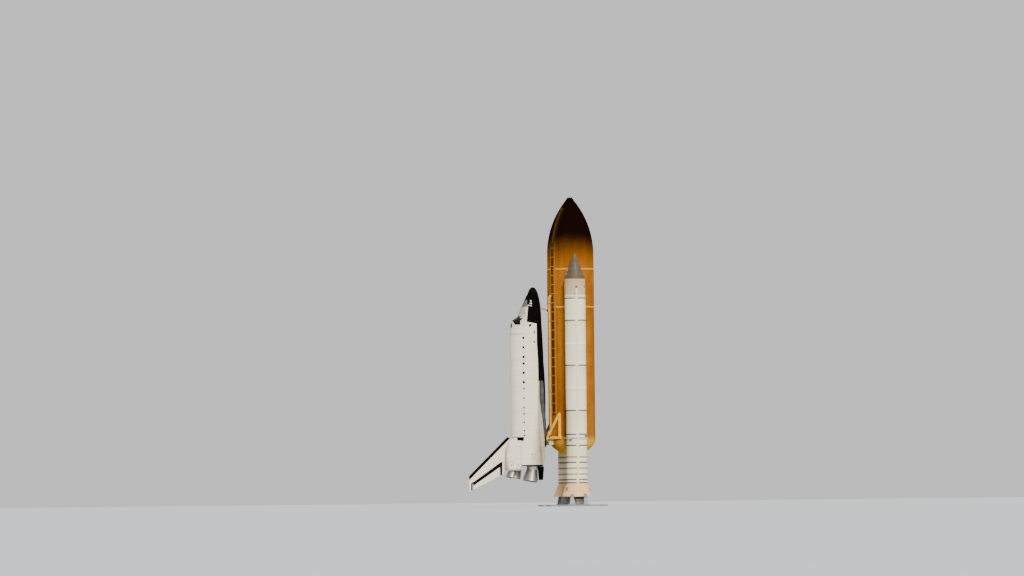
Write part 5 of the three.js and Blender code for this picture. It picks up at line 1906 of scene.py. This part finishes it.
def finMask(shade, x, up, aft, normal):
    lead = 1 - edge(shade, aft - up, fin["lead"] - fin["rootUp"] + fin["edgeBand"])
    past = aft - up * hingeSlope - (fin["hingeLow"] - fin["low"] * hingeSlope)
    span = edge(shade, up, 4.5) * (1 - edge(shade, up, 9.8))
    taper = (up - 5.0) * 0.03
    hinge = edge(shade, past - taper, -0.32) * (1 - edge(shade, past, 0.45)) * span
    ends = shade.high(shade.line(up, 4.5, 0.23), shade.line(up, 9.78, 0.22)) * edge(shade, past, -0.3)
    return shade.high(lead, hinge, ends)


def finLines(shade, x, up, aft):
    past = aft - up * hingeSlope - (fin["hingeLow"] - fin["low"] * hingeSlope)
    middle = shade.line(up - past * 0.6, 6.95, 0.025) * edge(shade, past, 0.0)
    front = shade.line(aft - up * 0.9, 27.4, 0.014)
    return shade.high(middle, front) * 0.7


def makeFin():
    ups = [2.3, 2.7, 3.0, 3.3, 3.66, 3.85, 4.04, 4.06, 4.3, fin["low"] - fin["gap"]]
    piece = Piece().loft(
        [finRing(up, max(finLead(up), fin["front"] if up < 3.3 else 0), finEnd(up)) for up in ups]
    )
    low, high = fin["low"] - fin["gap"], fin["high"] + fin["gap"]
    ups = [low + (high - low) * i / 12 for i in range(13)]
    piece.loft([finRing(up, finLead(up), rudderFront(up)) for up in ups])
    ups = [high + (fin["top"] - high) * i / 3 for i in range(4)]
    piece.loft([finRing(up, finLead(up), finTrail(up)) for up in ups])
    piece.tube([at(0, up, rudderHinge(up)) for up in (low - 0.05, 6.0, 8.0, high + 0.05)], 0.027, 12, 1)
    seal = []
    for up in (low, high):
        front, back = rudderFront(up) - 0.02, rudderHinge(up)
        seal.append(
            [at(x, up, aft) for x, aft in ((-0.001, front), (0.001, front), (0.001, back), (-0.001, back))]
        )
    piece.loft(seal, 3)
    for k in range(4):
        up = 5.3 + k * 1.22
        for side in (-1, 1):
            spot = at(side * (finHalf(up, rudderFront(up) - 0.3) + 0.004), up, rudderFront(up) - 0.3)
            piece.box((0.02, 0.3, 0.34), 0.008, Matrix.Translation(spot), 2)
    piece.keep(
        "fin_skin", "stack", "blanket",
        [wingSkins["fin"], wingSkins["metal"], wingSkins["fin"], wingSkins["dark"]], ["fin"], 34,
    )
    for side, title in ((1, "right"), (-1, "left")):
        rings = []
        for i in range(15):
            up = fin["low"] + (fin["high"] - fin["low"]) * i / 14
            level = up - fin["drop"] * i / 14
            hinge = rudderHinge(level)
            nose = (finTrail(level) - finLead(level)) * 0.05
            ring = [at(side * 0.03, level, hinge)]
            for k in range(6, -1, -1):
                angle = radians(90 + 38 * k / 6)
                ring.append(at(side * nose * sin(angle), level, hinge + nose * cos(angle)))
            trail = finTrail(up) - 0.03
            for share in (0.25, 0.5, 0.75, 0.97, 1):
                ring.append(
                    at(side * (nose + (0.045 - nose) * share), level, hinge + (trail - hinge) * share)
                )
            ring.append(at(side * 0.008, level, trail))
            rings.append(ring)
        half = Piece().loft(rings)
        half.keep(
            f"rudder_{title}_skin", f"rudder_{title}", "blanket", [wingSkins["fin"]], [f"rudder_{title}"], 34
        )


# Tail pods: aft, side, up, half width, half height
pod = {
    "sections": (
        (27.29, 1.5, 1.75, 0.5, 0.5),
        (27.65, 1.56, 1.9, 0.9, 1.05),
        (28.2, 1.64, 2.02, 1.12, 1.4),
        (29.2, 1.72, 2.12, 1.24, 1.56),
        (30.6, 1.82, 2.21, 1.3, 1.56),
        (31.9, 1.9, 2.29, 1.29, 1.48),
        (32.9, 1.96, 2.33, 1.2, 1.33),
        (33.15, 1.98, 2.33, 1.08, 1.18),
    ),
    "power": 2.4,
    # aft, degrees round the pod from outboard, radius
    "ports": (
        (31.6, 8, 0.1), (31.6, 24, 0.1), (32.2, 8, 0.1), (32.2, 24, 0.1), (31.8, 62, 0.1), (32.2, 62, 0.1),
        (32.6, 62, 0.1), (32.5, -14, 0.1), (32.1, -24, 0.1),
    ),
}


def podPoint(side, row, turn, out=0.0):
    aft, x, up, half, height = row
    return at(
        side * (x + (half + out) * rounded(cos(turn), pod["power"])),
        up + (height + out) * rounded(sin(turn), pod["power"]), aft,
    )


def podLines(shade, x, up, aft):
    seam = shade.high(shade.line(aft, 28.9, 0.02), shade.line(aft, 31.1, 0.02))
    return shade.high(seam, shade.line(aft, 32.98, 0.07)) * 0.6


def podShadeMask(shade, x, up, aft, normal):
    # Black low at the pod's front: painted shade in the gap behind the doors' end.
    return (1 - edge(shade, aft, 27.8)) * (1 - edge(shade, up, 1.78))


def makePod(side, title):
    rows = refined(pod["sections"], 6)
    turns = [2 * pi * i / 72 for i in range(72)]
    body = lofted([[podPoint(side, row, turn) for turn in turns] for row in rows])
    well = lathed([(0, 0.12), (0.42, 0.12), (0.42, -1.5), (0, -1.5)], 48)
    shifted(well, enginePlace(*engines["pod"][0 if side > 0 else 1][1:]))
    room = lathed([(0, 0.25), (1.1, 0.25), (1.1, -1.2), (1.7, -3.15), (0, -3.15)], 64)
    shifted(room, enginePlace(*engines["main"][0][1:]))
    piece = Piece().add(carved(body, well, room))
    for aftward, angle, size in pod["ports"]:
        row = between(rows, aftward)
        spot = podPoint(side, row, radians(angle))
        out = (podPoint(side, row, radians(angle), 0.4) - spot).normalized()
        piece.add(portRim(size, -0.03, (-0.02, -0.03, -0.03)), looking(spot, out), 1)
    for k in range(3):
        spot = at(side * 2.9, 2.0 + 0.34 * k, 33.15)
        piece.spin(
            [(0.13, -0.02), (0.13, 0.09), (0.1, 0.1), (0.05, 0.0), (0, 0.0)], 24, looking(spot, (0, 0, -1)), 1
        )
    piece.keep(
        f"pod_{title}_skin", "stack", "blanket", [wingSkins["pod"], wingSkins["dark"]], [f"pod_{title}"], 30
    )


# Payload bay doors. The black squares over the hinges are split by the doors' lower edge.
door = {
    "start": 8.676,
    "end": 27.163,
    "low": 10.24,
    "high": 89.82,
    "thick": 0.13,
    "halfWidth": 2.59,
    "top": 2.6,
    "lowest": 0.462,  # no part of a door is lower than this
    "halfGap": 0.008,  # from the middle to a door's upper edge
    "radiatorRadii": (2.462, 2.43),
    "latchTurn": 86.0,
    "joints": (13.26, 17.85, 22.45),
    "marks": (
        (9.16, 0.21), (10.87, 0.21), (12.6, 0.21), (13.79, 0.21), (15.47, 0.21), (17.17, 0.21), (18.35, 0.14),
        (20.03, 0.14), (21.77, 0.14), (22.86, 0.14), (24.42, 0.14), (25.94, 0.14), (26.77, 0.14),
    ),
    "radiators": ((8.95, 13.1), (13.42, 17.7), (18.0, 22.3), (22.6, 26.9)),
}


def hingeMarks(shade, x, up, aft):
    total = 0.0
    for place, half in door["marks"]:
        total = total + shade.line(aft, place + 0.09, half, 0.1) * shade.line(up, 0.47, half, 0.1)
    return total


def doorLines(shade, x, up, aft):
    return shade.high(*(shade.line(aft, joint, 0.018) for joint in door["joints"])) * 0.6


def doorMask(shade, x, up, aft, normal):
    return shade.low(hingeMarks(shade, x, up, aft), 1.0)


def makeDoor(side, title):
    count = 40
    turns = [radians(door["low"] + (door["high"] - door["low"]) * i / count) for i in range(count + 1)]
    thin = door["thick"]

    def arc(inset, aft):
        wide, tall = door["halfWidth"] - inset, door["top"] - inset
        across = [max(wide * cos(a), door["halfGap"]) for a in turns]
        up = [max(tall * sin(a), door["lowest"]) for a in turns]
        return [at(side * x, y, aft) for x, y in zip(across, up)]

    afts = [door["start"] + (door["end"] - door["start"]) * i / 24 for i in range(25)]
    body = lofted([arc(0, aft) + list(reversed(arc(thin, aft))) for aft in afts])
    piece = Piece().add(body)
    for face in piece.bm.faces:
        spot = face.calc_center_median()
        radius = hypot(spot.x, stack["orbiterY"] - spot.y)
        if radius < 2.5:
            face.material_index = 1
    for start, end in door["radiators"]:
        rings = []
        for aft in (start, (start + end) / 2, end):
            outside, inside = door["radiatorRadii"]
            face = [onArc(a, outside, aft, side) for a in turns[3:-3]]
            rings.append(face + [onArc(a, inside, aft, side) for a in reversed(turns[3:-3])])
        piece.loft(rings, 2)
        for aft in (start + 0.25, end - 0.25):
            section = ((2.44, -0.04), (2.4, -0.04), (2.4, 0.04), (2.44, 0.04))
            piece.add(arched(turns[4:-4], aft, section, side), None, 1)
    for k in range(16):
        spot = onArc(radians(door["latchTurn"]), 2.43, 9.2 + k * 1.17, side)
        piece.box((0.12, 0.05, 0.22), 0.012, Matrix.Translation(spot), 3)
    name = f"bay_door_{title}"
    piece.keep(
        name + "_shell", name, "blanket",
        [wingSkins["door"], wingSkins["liner"], wingSkins["radiator"], wingSkins["metal"]], [name], 30,
    )


def radiatorMaterial(name):
    shade = Shade(name)
    aft = stack["noseZ"] - shade.place()[2]
    tube = shade.repeat(aft, 0.12, 0.012)
    tone = shade.noise(0.7, 3)
    fine = shade.noise(16.0, 3)
    colour = shade.blend(tone, (0.66, 0.67, 0.68), (0.78, 0.78, 0.77))
    colour = shade.blend(tube * 0.35, colour, (0.42, 0.43, 0.45))
    return shade.finish(colour, rough=0.22 + fine * 0.15, metal=0.75, height=fine * 0.2 - tube, depth=0.003)


makeTank()
makeTray()
makeFeedLine()
makeMounts()
print("tank ready")

boosterMaterials = {
    "white": boosterMaterial("paint_booster"),
    "cone": boosterMaterial("paint_booster_cone", "cone", marks=False),
    "tunnel": boosterMaterial("paint_booster_tunnel", marks=False),
    # The aft skirt's warm tone is painted light from the lamps below.
    "skirt": boosterMaterial("paint_booster_skirt", "warm", marks=False),
    "metal": steelMaterial("steel_booster", (0.30, 0.29, 0.27)),
    "mark": steelMaterial("steel_cover", (0.035, 0.033, 0.035), metal=0.0, rust=0.05),
    "ring": steelMaterial("steel_ring", (0.66, 0.64, 0.58), metal=0.1, rust=0.1),
    "stand": steelMaterial("steel_stand", (0.24, 0.245, 0.25), metal=0.3, rust=0.5),
    "curtain": quiltMaterial("booster_curtain", (0.42, 0.36, 0.27), 0.24),
    "nozzle": wrappedMaterial("nozzle_wrap"),
}
for side, name in ((1, "right"), (-1, "left")):
    makeBooster(side, name)
print("boosters ready")

engineMaterials = {
    "bell": bellMaterial("bell_outside"),
    "inside": bellMaterial("bell_inside", True),
    "pipe": steelMaterial("bell_pipe", (0.40, 0.37, 0.33), metal=0.8, rough=0.35, rust=0.3),
    "dome": quiltMaterial("dome_blanket", (0.52, 0.50, 0.46), 0.35),
}
hullMaterials = {
    "frame": orbiterMaterial("tile_window_frame", allBlack),
    "silver": steelMaterial("steel_bay", (0.62, 0.62, 0.6), metal=0.5, rust=0.0),
}
makeNoseCap()
makeForwardBody()
makeMiddleBody()
makeAftBody()
for engine in engines["main"]:
    makeMainEngine(*engine)
for engine in engines["pod"]:
    makePodEngine(*engine)
print("hull and engines ready")

wingSkins = {
    "wing": orbiterMaterial("blanket_wing", wingMask, wingLines, tiles=0.15),
    "surface": orbiterMaterial("blanket_elevon", surfaceMask, surfaceLines, tiles=0.15),
    "carbon": carbonMaterial("carbon_edge", (0.04, 0.037, 0.034), (0.075, 0.07, 0.063)),
    "metal": steelMaterial("steel_bearing", (0.36, 0.35, 0.34), metal=0.8, rust=0.1),
    "dark": orbiterMaterial("tile_plain", allBlack),
    "tile": orbiterMaterial("tile_flap", allBlack),
    "fin": orbiterMaterial("blanket_fin", finMask, finLines, tiles=0.35),
    "pod": orbiterMaterial("blanket_pod", podShadeMask, podLines, tiles=0.3),
    "door": orbiterMaterial("blanket_door", doorMask, doorLines),
    "liner": quiltMaterial("door_liner", (0.70, 0.69, 0.66), 0.4),
    "radiator": radiatorMaterial("radiator_silver"),
}
for side, title in ((1, "right"), (-1, "left")):
    makeWing(side, title)
    makeElevon(side, title, "inner", wing["inner"], wing["split"])
    makeElevon(side, title, "outer", wing["split"] + wing["gap"], wing["outer"])
    makePod(side, title)
    makeDoor(side, title)
makeFlap()
makeFin()
print("wings, tail and doors ready")

# Nodes of the frame that no finish above was put on get a plain one.
kept = {
    m.name
    for m in bpy.data.materials
    if m.name.startswith(("foam", "paint", "steel", "tile", "blanket", "bell"))
}
plain = {
    "tank": (0.50, 0.17, 0.03),
    "booster": (0.78, 0.77, 0.72),
}
for name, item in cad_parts.items():
    slots = item.material_slots
    if slots and slots[0].material and slots[0].material.name in kept:
        continue
    made = Shade(name)
    colour = plain.get(name.split("_")[0], (0.75, 0.75, 0.73))
    made.finish(made.blend(made.noise(2.0), tuple(0.9 * c for c in colour), colour))
    for slot in slots:
        slot.material = made.material
